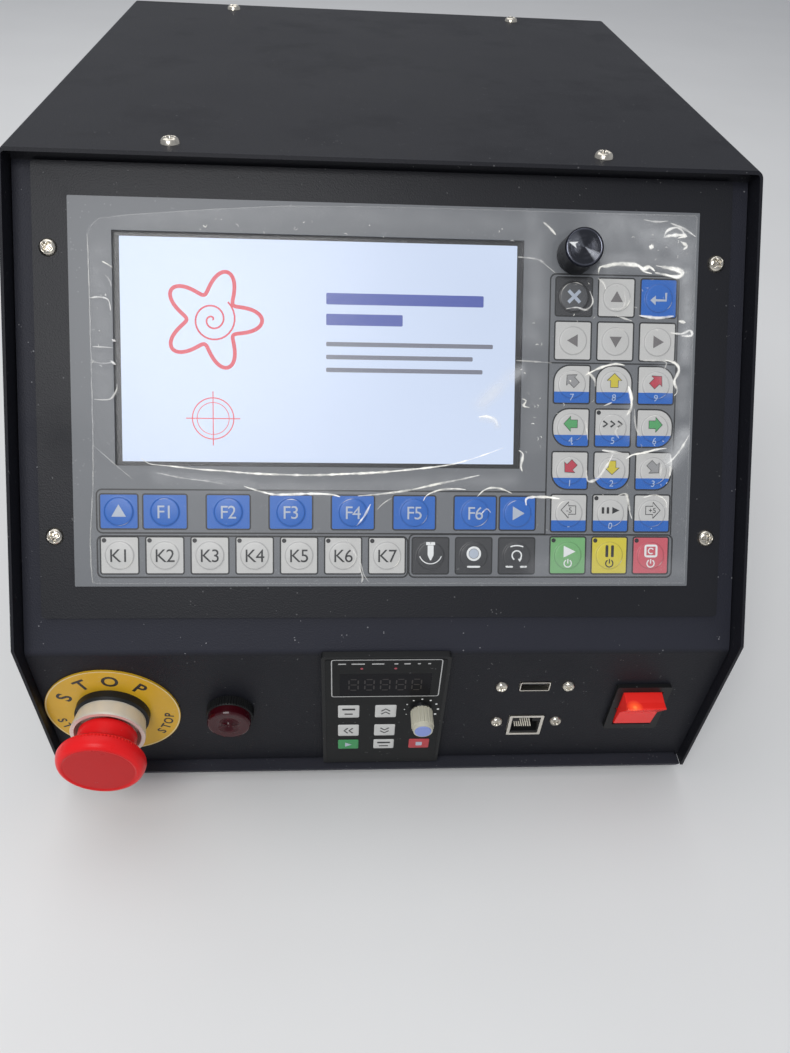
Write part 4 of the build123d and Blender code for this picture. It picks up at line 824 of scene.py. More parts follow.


# Creases of the clear film: points across and up the face in millimetres, widest width, strength of the painted glint
CREASES = (
    (((82.4, 148.4), (83, 151.2), (85.6, 151.8), (90, 152.7), (97, 152.5), (99.4, 151.6), (101, 150),
      (104, 149.3)), 1.5, 1), (((98.4, 152.6), (100.4, 151), (103, 151.8), (105.2, 150.2)), 1.5, 1),
    (((105.6, 152.4), (110, 151.7), (114, 151), (116.4, 149.7), (114.6, 148.2), (110, 148.8),
      (105.2, 149.7)), 1.4, 1),
    (((108.2, 163.4), (111, 164.1), (114.6, 164.4), (117.2, 164.2), (114, 163.2)), 1.3, 1),
    (((108.4, 163.6), (109.6, 165.9), (113, 167.3), (115.6, 166.2), (116.8, 164.4)), 0.9, 0.9),
    (((111, 169), (117, 166.6), (121.4, 164)), 0.9, 0.8), (((100, 170.1), (105, 169.3), (110, 169.8)), 0.6, 0.6),
    (((102.6, 159.9), (104.4, 159.3)), 1.8, 1), (((115.2, 162), (117.8, 160.2), (116.4, 158.9)), 1.0, 0.9),
    (((60, 168), (62.6, 165.8), (65, 163.2)), 1.0, 0.8),
    (((50, 154.4), (58, 153.6), (62, 151), (65.2, 148.6)), 0.7, 0.5),
    (((69.7, 134.8), (74, 135.4), (78, 134.7), (80.5, 137.7), (79.2, 142)), 0.6, 0.7),
    (((82.3, 147), (84.6, 145), (85.6, 142.6)), 0.7, 0.8), (((89.8, 132.6), (96.5, 130.6)), 0.6, 0.7),
    (((87.4, 135.1), (92, 135.2), (93.4, 138), (92.9, 141.5)), 0.6, 0.5),
    (((99.3, 132.8), (106.6, 132), (113.5, 132.9)), 0.9, 0.8), (((115.6, 131), (118.4, 130.4)), 1.3, 1),
    (((112.4, 126.3), (117, 126), (120.4, 127.4), (121, 125.4), (116.6, 125.2)), 0.9, 0.9),
    (((110.4, 115.5), (114.6, 114.4), (116.4, 111.6), (114.6, 107), (116, 103.4), (114.8, 101.4)), 1.1, 0.9),
    (((101.4, 115.2), (107.6, 115.2), (111, 114.6), (110.4, 112)), 0.6, 0.6),
    (((78.2, 109), (80.4, 110.2), (84.6, 112.2), (90, 113.6), (94.2, 113.2)), 0.9, 0.9),
    (((79.2, 110.5), (81.9, 107.4), (82.3, 104.6)), 1.0, 0.7),
    (((50, 114.4), (60.2, 113.9), (64.6, 113.6)), 0.5, 0.5),
    (((96, 105), (97.2, 100.6), (97.3, 96.4), (95.6, 93.4)), 1.2, 0.95), (((86, 97), (89.4, 98.4)), 0.8, 0.8),
    (((98.6, 96), (99, 91), (99.8, 87.6), (101.6, 84.8)), 0.7, 0.5), (((92.4, 84.2), (91, 87), (93.6, 90)), 0.7, 0.5),
    (((85.8, 79.4), (90.3, 78.7), (94, 78.3)), 0.8, 0.8),
    (((90.5, 78), (88.8, 75), (86.4, 71), (84, 67.8), (80.4, 67), (79.8, 71.6)), 0.9, 0.8),
    (((95.7, 75.9), (98.4, 77.6), (103.5, 78.6), (108, 79.8), (112.4, 80.4)), 0.8, 0.9),
    (((112, 73.6), (115.4, 76.4), (118.6, 80.6), (121.6, 85.8)), 0.8, 0.9),
    (((114.2, 78), (114.4, 73), (114, 69)), 0.8, 0.8), (((110.3, 74), (110, 69)), 0.6, 0.6),
    (((92.5, 61), (96.2, 61.8), (97.5, 57.4), (98.1, 54.2), (99, 51.7)), 0.9, 0.8),
    (((103.2, 60.3), (108.2, 61.5), (112.4, 59.5), (113.3, 56)), 0.7, 0.7),
    (((79, 91), (79.5, 86.6), (80, 83.4)), 0.7, 0.6), (((53, 99.4), (54.6, 98.6), (53.6, 96.6), (56, 96)), 0.8, 0.8),
    (((52, 79), (53.8, 77.4), (53, 73), (53.6, 70.6)), 0.9, 0.8),
    (((-96, 74.6), (-92.6, 72.4), (-85, 71.6), (-73.6, 70.4), (-65, 69.9), (-53.5, 69), (-41.8, 68.6), (-30, 68.5),
      (-18, 69), (-3.3, 69.8), (12.5, 71.4), (23, 72.8), (30, 74.4), (38, 77), (46, 80)), 0.8, 1),
    (((-90.3, 69), (-80.5, 67), (-71.3, 65.9), (-62.8, 64.4)), 0.6, 0.5),
    (((-56.6, 63.9), (-50, 61.9), (-44.8, 60.8), (-38, 60.9), (-30, 61.2), (-22.6, 60.9), (-19, 60)), 0.9, 1),
    (((-12, 60.4), (-3.3, 61.2), (8.6, 62.9), (19.8, 65.4), (28.6, 67.2), (36.5, 69)), 0.8, 0.85),
    (((-114.4, 79.6), (-107, 73), (-99.4, 66.4)), 0.35, 0.4), (((-12.4, 48.6), (-9.2, 52.9), (-7, 57.2)), 0.8, 0.9),
    (((-16.4, 43.5), (-13.9, 38.9), (-11.2, 34.6), (-9.6, 29.3), (-7.4, 25.9)), 0.5, 0.5),
    (((-11.2, 31.6), (-10, 28), (-10.4, 25.8)), 0.8, 0.6), (((-4.4, 55), (-1.8, 57.6), (1.4, 59.6)), 0.5, 0.5),
    (((14, 58.6), (15.6, 61), (20.6, 63), (26.2, 63.5), (31, 63.2)), 0.7, 0.9),
    (((35.6, 60.4), (38.3, 63), (41.5, 64), (45.5, 63.5), (49.6, 61.8)), 0.7, 0.9),
    (((55.4, 57), (56, 60), (63.4, 60.4), (69.1, 59.7)), 1.0, 1),
    (((37.2, 53.4), (39.4, 55.6), (41.2, 54)), 0.5, 0.8),
    (((-114.4, 135.2), (-111, 135.6), (-107.5, 134.6), (-106.6, 130.5)), 0.7, 0.7),
    (((-113.8, 117), (-110, 116.8), (-106, 116.6)), 0.6, 0.6),
    (((-114, 111.4), (-110, 110.6), (-105.6, 111.2)), 0.5, 0.5), (((-106.4, 119.8), (-104.9, 118.9)), 0.8, 0.8),
    (((-107, 111.8), (-105.2, 110.2)), 0.9, 0.9),
    (((-113.6, 97), (-110, 96.8), (-107, 97.4), (-105, 100.6), (-104.8, 103)), 0.6, 0.7),
    (((-109.6, 149), (-107, 147.6), (-105.6, 146.6)), 0.7, 0.7),
    (((-108.6, 144), (-106.8, 142), (-106.2, 139.6)), 0.5, 0.5),
    (((-71.6, 163.4), (-70.6, 162.6), (-70, 163.6)), 0.6, 0.9),
    (((35.6, 92), (39, 92.2), (42, 91), (43.4, 88.6)), 1.3, 0.8),
)
# Hazy places of the film and painted glare on it: points, radius and strength
PAINTED_GLARE_AND_HAZE = (
    (((-110, 152), (-110, 120), (-110, 98)), 4.0, 0.07), (((-100, 168), (-40, 169), (20, 168), (60, 166)), 5.0, 0.08),
    (((56, 170), (57, 150), (57, 125)), 5.0, 0.14), (((84, 168), (100, 165), (116, 160)), 9.0, 0.24),
    (((84, 154), (100, 155), (114, 153)), 4.0, 0.2), (((117.5, 150), (118.5, 132), (117.8, 116)), 3.2, 0.3),
    (((118, 108), (118, 95)), 3.0, 0.14), (((119.5, 86), (117, 80), (114, 75)), 3.4, 0.44),
    (((-90, 68), (-60, 65), (-20, 64), (20, 66), (50, 67)), 3.0, 0.12), (((36, 97), (51, 110.5)), 2.6, 0.4),
    (((37, 91.4), (41.6, 90.4), (43, 88.4)), 1.0, 0.5), (((74, 151), (86, 150)), 3.0, 0.1),
    (((60, 32), (118, 31)), 5.0, 0.07), (((58, 108), (58, 80)), 4.0, 0.07), (((96, 96), (97, 86)), 2.5, 0.12),
    (((110, 112), (112, 104)), 3.0, 0.12),
)
FILM_RIGHT, FILM_LOW, FILM_HIGH = 121.9, 25.3, 172.3
# Shift of the film's left edge by its place up the face, and the film's top by its place across
FILM_SIDE = ((25, -1.0), (33, -1.7), (42, -1.7), (50, -1.3), (60, -0.6), (67, -0.2), (80, 0.1), (145, -0.3),
             (160, -0.7), (200, -0.7))
FILM_TOP = ((-120, 158.5), (-114.6, 159.8), (-113.2, 162.6), (-110.5, 165), (-100, 166.6), (-70, 169.4), (-40, 171.6),
            (0, FILM_HIGH), (130, FILM_HIGH))
# Fields with scattered small painted glints: left, right, low, high and their number
PAINTED_GLINT_FIELDS = ((-75, 50, 160.5, 166, 16), (52, 62, 70, 130, 22), (64, 116, 45, 150, 36), (-114, -105, 95, 158, 10),
          (84, 120, 150, 170, 12))


def curve_through(points, step):
    """Points of a smooth curve through the given ones."""
    line = []
    count = len(points)
    for k in range(count - 1):
        a, b, c, d = (Vector(points[max(0, min(count - 1, k + j))]) for j in (-1, 0, 1, 2))
        parts = max(2, int((c - b).length / step))
        for part in range(parts):
            t = part / parts
            line.append(0.5 * (2 * b + (c - a) * t + (2 * a - 5 * b + 4 * c - d) * t * t
                               + (3 * b - a - 3 * c + d) * t * t * t))
    return line + [Vector(points[-1])]


def between(table, at):
    """Value at a place, straight from row to row of a table."""
    for (a, low), (b, high) in zip(table, table[1:]):
        if at <= b:
            return low + (high - low) * max(0.0, (at - a) / (b - a))
    return table[-1][1]


class Film:
    """The clear film's outline, surface and creases, in millimetres on the sloping face."""

    def __init__(self, left):
        self.left = left
        self.creases = [(curve_through(points, 0.6), width * 1.75, painted_shine) for points, width, painted_shine in CREASES]

    def sway(self, v):
        """Shift of the left edge."""
        return between(FILM_SIDE, v) + 0.2 * noise.noise(Vector((v * 0.2, 2.2, 0)))

    def height(self, x, v):
        """Height over the membrane without the creases."""
        wave = (noise.noise(Vector((x * 0.045, v * 0.06, 0.3))) * 0.22
                + noise.noise(Vector((x * 0.14, v * 0.17, 4.1))) * 0.10)
        edge = min(x - self.left, FILM_RIGHT - x, v - FILM_LOW, FILM_HIGH - v)
        return 0.28 + max(0.0, wave + 0.16) * smooth_step(0, 9, edge) + dome_height(x, v)

    def cell(self, x, v):
        return round(x - self.left), round(v - FILM_LOW)

    def spread(self, field, point, radius, strength):
        """Raise a soft spot round a point in a field of values, one for each square millimetre."""
        column, row = self.cell(*point)
        reach = math.ceil(2 * radius)
        for i in range(column - reach, column + reach + 1):
            for j in range(row - reach, row + reach + 1):
                gap = math.hypot(self.left + i - point[0], FILM_LOW + j - point[1])
                field[i, j] = max(field.get((i, j), 0.0), strength * math.exp(-(gap / radius) ** 2))

    def sheet(self, hole):
        """The film's grid, raised along its creases and open round the knob."""
        ridges, painted_glare_and_haze = {}, {}
        for line, _, _ in self.creases:
            for k, point in enumerate(line):
                self.spread(ridges, point, 1.3, 0.45 * max(0.0, math.sin(math.pi * k / (len(line) - 1))) ** 0.5)
        for points, radius, strength in PAINTED_GLARE_AND_HAZE:
            for point in curve_through(points, 1.0):
                self.spread(painted_glare_and_haze, point, radius, strength)
        mesh = bmesh.new()
        glare_layer = mesh.verts.layers.float.new("painted_glare_and_haze")
        grid = {}
        columns, rows = int(FILM_RIGHT - self.left), int(FILM_HIGH - FILM_LOW)
        for i in range(columns + 1):
            for j in range(rows + 1):
                x = self.left + (FILM_RIGHT - self.left) * i / columns
                v = FILM_LOW + (between(FILM_TOP, x) - FILM_LOW) * j / rows
                x += self.sway(v) * (1 - i / columns) ** 8
                if math.hypot(x - hole.x, v - hole.y) > 9.2:
                    here = self.cell(x, v)
                    grid[i, j] = mesh.verts.new((x, v, self.height(x, v) + ridges.get(here, 0.0)))
                    grid[i, j][glare_layer] = painted_glare_and_haze.get(here, 0.0)
        for i in range(columns):
            for j in range(rows):
                corners = [grid.get(c) for c in ((i, j), (i + 1, j), (i + 1, j + 1), (i, j + 1))]
                if all(corners):
                    mesh.faces.new(corners)
        return mesh

    def strands(self):
        """Creases, edges and small glints, all painted highlights: points, width, lift, glint strength and the seed of
        their breaks.
        """
        left, right, low, high = self.left, FILM_RIGHT, FILM_LOW, FILM_HIGH
        side = [Vector((left + self.sway(v) + 0.2, v)) for v in (159.0 - 1.2 * k for k in range(112))]
        turn = [Vector(p) for p in ((left + 1, low + 0.2), (right - 1, low + 0.2), (right - 0.2, low + 1),
                                    (right - 0.2, high - 1), (right - 1, high - 0.2))]
        turn += [Vector((x, v - 0.2)) for x, v in reversed(FILM_TOP[1:-1])]
        strands = [(line, width, 0.42, painted_shine, 1.7) for line, width, painted_shine in self.creases]
        # Painted highlights along the film's edges.
        strands += [(side, 0.45, 0.05, 0.4, 0.0), (side[-1:] + turn + side[:1], 0.35, 0.05, 0.14, 0.0)]
        # Painted glints: short arcs where the film lies over the keys' domes, and small sparkles.
        dice = random.Random(19)
        for x, v, *_ in KEYS:
            for _ in range(dice.choice((0, 1, 2) if v < 45 else (1, 1, 2))):
                start = dice.choice((dice.uniform(40, 110), dice.uniform(260, 330)))
                arc = arc_points((x, v), dice.uniform(5.1, 5.5), start, start + dice.uniform(25, 75), 12)
                strands.append(([Vector(p) for p in arc], dice.uniform(0.25, 0.5), 0.1, dice.uniform(0.3, 0.9), 3.1))
        for x0, x1, v0, v1, count in PAINTED_GLINT_FIELDS:
            for _ in range(count):
                x, v, turn = dice.uniform(x0, x1), dice.uniform(v0, v1), dice.uniform(0, math.pi)
                reach = dice.uniform(0.25, 0.9)
                arc = [Vector((x + t * reach * math.cos(turn + 0.5 * t), v + t * reach * math.sin(turn + 0.5 * t)))
                       for t in (-1, -0.5, 0, 0.5, 1)]
                strands.append((arc, dice.uniform(0.25, 0.5), 0.2, dice.uniform(0.5, 1.0), 5.3))
        return strands

    def ribbons(self):
        """Narrow crests along the strands, which keep their painted glint."""
        mesh = bmesh.new()
        glint = mesh.verts.layers.float.new("painted_shine")
        for line, width, lift, painted_shine, seed in self.strands():
            rows, count = [], len(line)
            for k, point in enumerate(line):
                way = line[min(count - 1, k + 1)] - line[max(0, k - 1)]
                side = Vector((-way.y, way.x)).normalized()
                share = 1.0
                if seed:
                    breaks = 0.65 + 0.5 * noise.noise(Vector((point.x * 0.5, point.y * 0.5, seed)))
                    share = max(0.0, math.sin(math.pi * k / (count - 1))) ** 0.45 * breaks
                half = width / 2 * max(0.12, share)
                row = []
                for shift, crest, bright in ((1.0, 0.4, 0.0), (0.4, 0.9, 0.85), (-0.4, 0.9, 0.85), (-1.0, 0.4, 0.0)):
                    q = point + side * half * 1.25 * shift
                    rise = lift * max(0.2, share) * crest + 0.03
                    row.append(mesh.verts.new((q.x, q.y, self.height(q.x, q.y) + rise)))
                    row[-1][glint] = painted_shine * bright
                rows.append(row)
            for a, b in zip(rows, rows[1:]):
                strip(mesh, a, b)
        return mesh


def film_look():
    """Clear film with hazy places and painted glare, and a fine ripple."""
    material, g, shader = new_look("clear film")
    painted_glare_and_haze = g.add("ShaderNodeAttribute", attribute_name="painted_glare_and_haze").outputs["Fac"]
    patches = g.ramp(g.noise(g.where(), 110.0, 3.0), (0.3, 0.55), (0.7, 1.35))
    g.join(g.math("ADD", g.math("MULTIPLY", painted_glare_and_haze, patches), 0.03), shader.inputs["Alpha"])
    g.bump(shader, g.noise(g.where(), 340.0, 3.0, 0.6), 0.25, 0.0003)
    set_inputs(shader, {"Base Color": (0.86, 0.87, 0.88), "Roughness": 0.12})
    return material


def crease_look():
    """Painted glints on the crests, as pale colour and a faint glow, broken up along their length."""
    material, g, shader = new_look("painted crease glint")
    painted_shine = g.add("ShaderNodeAttribute", attribute_name="painted_shine").outputs["Fac"]
    fade = g.ramp(g.noise(g.where(), 170.0, 3.0, 0.6), (0.28, 0.25), (0.58, 1.0))
    g.join(g.math("MULTIPLY", fade, painted_shine), shader.inputs["Alpha"])
    g.join(g.ramp(g.noise(g.where(), 60.0), (0.3, 0.80), (0.7, (0.95, 0.93, 0.84))), shader.inputs["Base Color"])
    g.join(g.ramp(painted_shine, (0.3, 0.12), (1.0, (0.62, 0.60, 0.54))), shader.inputs["Emission Color"])
    set_inputs(shader, {"Roughness": 0.2, "Emission Strength": 1.0})
    return material


# Operators

class ConsoleStep:
    """What every operator here has in common."""

    bl_options = {"REGISTER"}


class CONSOLE_OT_effects(ConsoleStep, bpy.types.Operator):
    """Builds the shader groups that several finishes share"""

    bl_idname = "console.effects"
    bl_label = "Shared effects"

    def execute(self, context):
        coat_grain_group()
        dust_group()
        spun_group()
        return {"FINISHED"}


class CONSOLE_OT_case(ConsoleStep, bpy.types.Operator):
    """Coats the cover, tray, front, rear and controller plate, and softens their sheared edges"""

    bl_idname = "console.case"
    bl_label = "Case"

    def execute(self, context):
        for name in ("textured powder coat", "dusty coat with painted light", "satin plate coat", "foot rubber"):
            finish(name)
        # The front coat's upward faces are painted lighter, as painted light from above.
        retint(finish("textured front coat"), painted_top_light)
        for node in ("outer_cover", "base_tray", "front_fascia", "controller_plate", "rear_panel"):
            soften(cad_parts[node], 0.25 * MM, 2, 40)
        return {"FINISHED"}


class CONSOLE_OT_screws(ConsoleStep, bpy.types.Operator):
    """Makes the cross-recessed screw heads that show, in nickel or black plate"""

    bl_idname = "console.screws"
    bl_label = "Screw heads"

    def execute(self, context):
        finish("zinc plate")
        for node, radius, rise, look, slot in (
            ("cover_screws", 3.8, 2.3, "nickel plate", "nickel_screw"),
            ("plate_screws", 3.5, 2.0, "nickel plate", "nickel_screw"),
            ("socket_screws", 2.85, 1.74, "nickel plate", "nickel_screw"),
            ("fan_screws", 3.8, 2.3, "blackened screw", "zinc_steel"),
        ):
            mesh = bmesh.new()
            for index, (low, high) in enumerate(separate_boxes(node)):
                pan_head(mesh, self.seat(node, low, high, rise * MM), radius, rise, radius * 0.62, 17 + index * 37)
            made = piece_from(mesh, node.replace("screws", "screw_heads"), "console", finish(look), smooth=True)
            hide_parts(node)
        return {"FINISHED"}

    def seat(self, node, low, high, rise):
        """Where a head sits, from the box of its screw."""
        centre = (low + high) / 2
        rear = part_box("mains_inlet")[1].y
        if node == "plate_screws":
            plate = slope_frame(bpy.context.scene.console_sizes.plate_drop)
            flat = plate.inverted() @ centre
            return plate @ Matrix.Translation((flat.x, flat.y, 0))
        if node == "fan_screws" or centre.y > rear - 20 * MM and node == "socket_screws":
            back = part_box("fan_guards")[1].y if node == "fan_screws" else rear
            return frame_from((centre.x, back, centre.z), (-1, 0, 0), (0, 0, 1), (0, 1, 0))
        if node == "socket_screws":
            return upright_frame(centre.x, low.y + rise, centre.z)
        if high.z > SHELL_HIGH.z + 1 * MM:
            return frame_from((centre.x, centre.y, high.z - rise), (1, 0, 0), (0, 1, 0), (0, 0, 1))
        side = 1 if centre.x > 0 else -1
        edge = high.x - rise if side > 0 else low.x + rise
        return frame_from((edge, centre.y, centre.z), (0, side, 0), (0, 0, 1), (side, 0, 0))


class CONSOLE_OT_keypad(ConsoleStep, bpy.types.Operator):
    """Prints the membrane: key faces, marks, outlines and indicator dots"""

    bl_idname = "console.keypad"
    bl_label = "Membrane keypad"

    def execute(self, context):
        sizes = context.scene.console_sizes
        face = slope_frame(sizes.overlay_drop)
        self.sheet(finish("grey membrane"), slope_frame(sizes.plate_drop))
        for kind, (name, _) in KEY_SETS.items():
            look = finish(f"printed {kind} key")
            if kind == "banded":
                retint(look, lower_band)
            # Painted shade and highlight round each key's dome.
            retint(look, painted_dome_ring)
            key_faces([key for key in KEYS if key[5] == kind], name, look, face)
        lifts = {"mid": 0.03, "disc": 0.03, "digit": 0.06, "dark": 0.065}
        for ink, loops in key_marks().items():
            lift = lifts.get(ink, 0.05)
            laid(f"marks_{ink}", loops, face, lambda x, v, lift=lift: dome_height(x, v) + lift, finish(f"{ink} ink"),
                 cell=0.35 if ink in ("digit", "mid", "disc") else 0.7)
        laid("key_outlines", frame_lines(), face, 0.035, finish("outline ink"))
        return {"FINISHED"}

    def sheet(self, material, place):
        """The membrane's film, cut square at its corners, with the window and the knob's hole."""
        inverse = place.inverted()

        def outline(node, margin, corner):
            spots = [inverse @ vert.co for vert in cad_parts[node].data.vertices]
            left, right = min(p.x for p in spots) - margin, max(p.x for p in spots) + margin
            low, high = min(p.y for p in spots) - margin, max(p.y for p in spots) + margin
            return rounded(right - left, high - low, corner, 3, ((left + right) / 2, (low + high) / 2))

        knob = inverse @ middle("jog_knob")
        mesh = bmesh.new()
        edges = []
        for loop in (outline("keypad_overlay", 0.0, 0.35), outline("display_window", 0.1, 0.3)[::-1],
                     ring_points(4.7, 48, (knob.x, knob.y))[::-1]):
            tops = [mesh.verts.new((px, py, MEMBRANE)) for px, py in loop]
            lows = [mesh.verts.new((px, py, 0.0)) for px, py in loop]
            edges += [mesh.edges.new((tops[k - 1], tops[k])) for k in range(len(loop))]
            strip(mesh, lows, tops, closed=True)
        bmesh.ops.triangle_fill(mesh, edges=edges, use_beauty=True, normal=(0, 0, 1))
        mesh.transform(place)
        made = piece_from(mesh, "membrane_sheet", "console", material)
        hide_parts("keypad_overlay")


class CONSOLE_OT_screen(ConsoleStep, bpy.types.Operator):
    """Lights the display with a plain picture of a cutting path behind its pane"""

    bl_idname = "console.screen"
    bl_label = "Display"

    def execute(self, context):
        for name in ("dark display frame", "board green", "clear pane"):
            finish(name)
        place = slope_frame(context.scene.console_sizes.screen_drop)

        def lit(name, tint, loops, lift=0.02, patch=0.0):
            laid(name, moved(loops, -26.7, 116.3), place, lift, glowing(name, tint, patch), cell=200.0)

        lit("screen_ground", tuple(context.scene.console_colours.screen), [bar(154.1, 85.9, 0.1)], 0.0, 0.08)
        ways = [2 * math.pi * k / 140 for k in range(140)]
        reaches = [14.5 * (1 + 0.32 * math.cos(5 * t)) for t in ways]
        petals = [(r * math.cos(t), r * math.sin(t)) for r, t in zip(reaches, ways)]
        spiral = [(0.15 * k * math.cos(0.22 * k), 0.15 * k * math.sin(0.22 * k)) for k in range(62)]
        lit("screen_path", (0.62, 0.02, 0.05), moved(stroke(petals, 1.5, True) + stroke(spiral, 0.7), -42, 12))
        lit("screen_bars", (0.05, 0.08, 0.36), [rounded(62, 4.4, 0.4, 2, (33, 21)), rounded(30, 4.4, 0.4, 2, (17, 13))])
        lit("screen_lines", (0.16, 0.17, 0.22), [bar(width, 1.7, 0.3, (2 + width / 2, y))
                                                 for width, y in ((66, 3.5), (58, -1.5), (62, -6.5))])
        target = stroke(ring_points(8.0, 45), 0.45, True) + stroke(ring_points(6.2, 45), 0.3, True)
        target += stroke([(-10.5, 0), (10.5, 0)], 0.4) + stroke([(0, -10.5), (0, 10.5)], 0.4)
        lit("screen_target", (0.70, 0.07, 0.09), moved(target, -42, -26))
        return {"FINISHED"}


class CONSOLE_OT_knob(ConsoleStep, bpy.types.Operator):
    """Finishes the turning knob: turned top with painted highlights, polished rim and white pointer"""

    bl_idname = "console.knob"
    bl_label = "Turning knob"

    def execute(self, context):
        finish("black anodised")
        place = slope_frame(context.scene.console_sizes.overlay_drop)
        flat = place.inverted() @ middle("jog_knob")
        top = max((place.inverted() @ vert.co).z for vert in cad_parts["jog_knob"].data.vertices)
        turn = place @ Matrix.Translation((flat.x, flat.y, top))
        dice = random.Random(7)
        grooves = [(0.16 * k, (0.045 if k % 2 else 0.02) + dice.uniform(0, 0.02) * (k > 0)) for k in range(40)]
        for name, outline, steps, look, smooth in (
            ("knob_spun_top", grooves + [(6.4, 0.02)], 120, self.spun_look_with_painted_highlights(turn), False),
            ("knob_rim", [(6.4, 0.02), (6.55, 0.09), (6.8, 0.09), (6.95, 0.0)], 72, finish("polished rim"), True),
        ):
            mesh = bmesh.new()
            lathe(mesh, turn, outline, steps)
            piece_from(mesh, name, "jog_dial", look, smooth)
        pointer = [[(-2.0, 0.0), (1.3, 1.5), (0.5, 0.25)], [(-2.0, 0.0), (0.5, 0.25), (1.6, -1.0)]]
        laid("knob_pointer", moved(pointer, -4.3, 0.9, 1.0, -22), turn, 0.06, finish("white ink"),
             cell=2.0, body="jog_dial")
        return {"FINISHED"}

    def spun_look_with_painted_highlights(self, turn):
        """Turned metal with two painted highlights, lighter sectors opposite each other."""
        material, g, shader = new_look("spun top with painted highlights")
        centre = turn.to_translation()
        height = g.group("Spun Rings", {"Centre": tuple(centre), "Ring Scale": 21000.0})["Height"]
        highlight_angle = math.radians(-36)
        highlight_aim = turn.to_3x3().normalized() @ Vector((math.cos(highlight_angle), math.sin(highlight_angle), 0))
        swing = g.vector("DOT_PRODUCT", g.vector("NORMALIZE", g.vector("SUBTRACT", g.where(), centre)), highlight_aim)
        tone = g.ramp(height, (0.0, (0.030, 0.032, 0.040)), (1.0, (0.085, 0.088, 0.100)))
        # Painted highlights: a bright narrow sector and a fainter, wider one opposite, fixed to the knob.
        tone = g.mix(g.ramp(swing, (0.94, 0.0), (0.995, 1.0)), tone, (0.55, 0.56, 0.60))
        tone = g.mix(g.ramp(g.math("MULTIPLY", swing, -1.0), (0.84, 0.0), (0.99, 0.6)), tone, (0.22, 0.23, 0.26))
        g.join(tone, shader.inputs["Base Color"])
        g.bump(shader, height, 0.5, 0.00003)
        set_inputs(shader, {"Roughness": 0.22, "Metallic": 0.9})
        return material


class CONSOLE_OT_stop(ConsoleStep, bpy.types.Operator):
    """Finishes the emergency stop and letters its round plate"""

    bl_idname = "console.stop"
    bl_label = "Emergency stop"

    def execute(self, context):
        for name in ("collar grey", "black moulding", "label yellow"):
            finish(name)
        # The stop head's flat face gets painted shade.
        retint(finish("stop red"), painted_face_shade)
        plate = panel_frame("stop_label_ring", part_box("stop_label_ring")[0].y)
        # One large word above and two small ones below: letter, angle, size, weight, distance and turn
        signs = [(letter, angle, 6.2, 0.22, 21.3, -90) for letter, angle in zip("STOP", (150, 117, 84, 50))]
        signs += [(letter, start + 10.5 * k, 3.8, 0.14, 23.2, 90) for start in (-38, 194)
                  for k, letter in enumerate("STOP")]
        loops = []
        for letter, angle, size, weight, reach, turn in signs:
            at = math.radians(angle)
            loops += moved(letters(letter, size, weight=weight), reach * math.cos(at), reach * math.sin(at), 1.0,
                           angle + turn)
        laid("stop_lettering", loops, plate, 0.03, finish("dark ink"))
        laid("stop_plate_edge", stroke(ring_points(27.6, 120), 0.5, True), plate, 0.02, finish("label rim"))
        return {"FINISHED"}


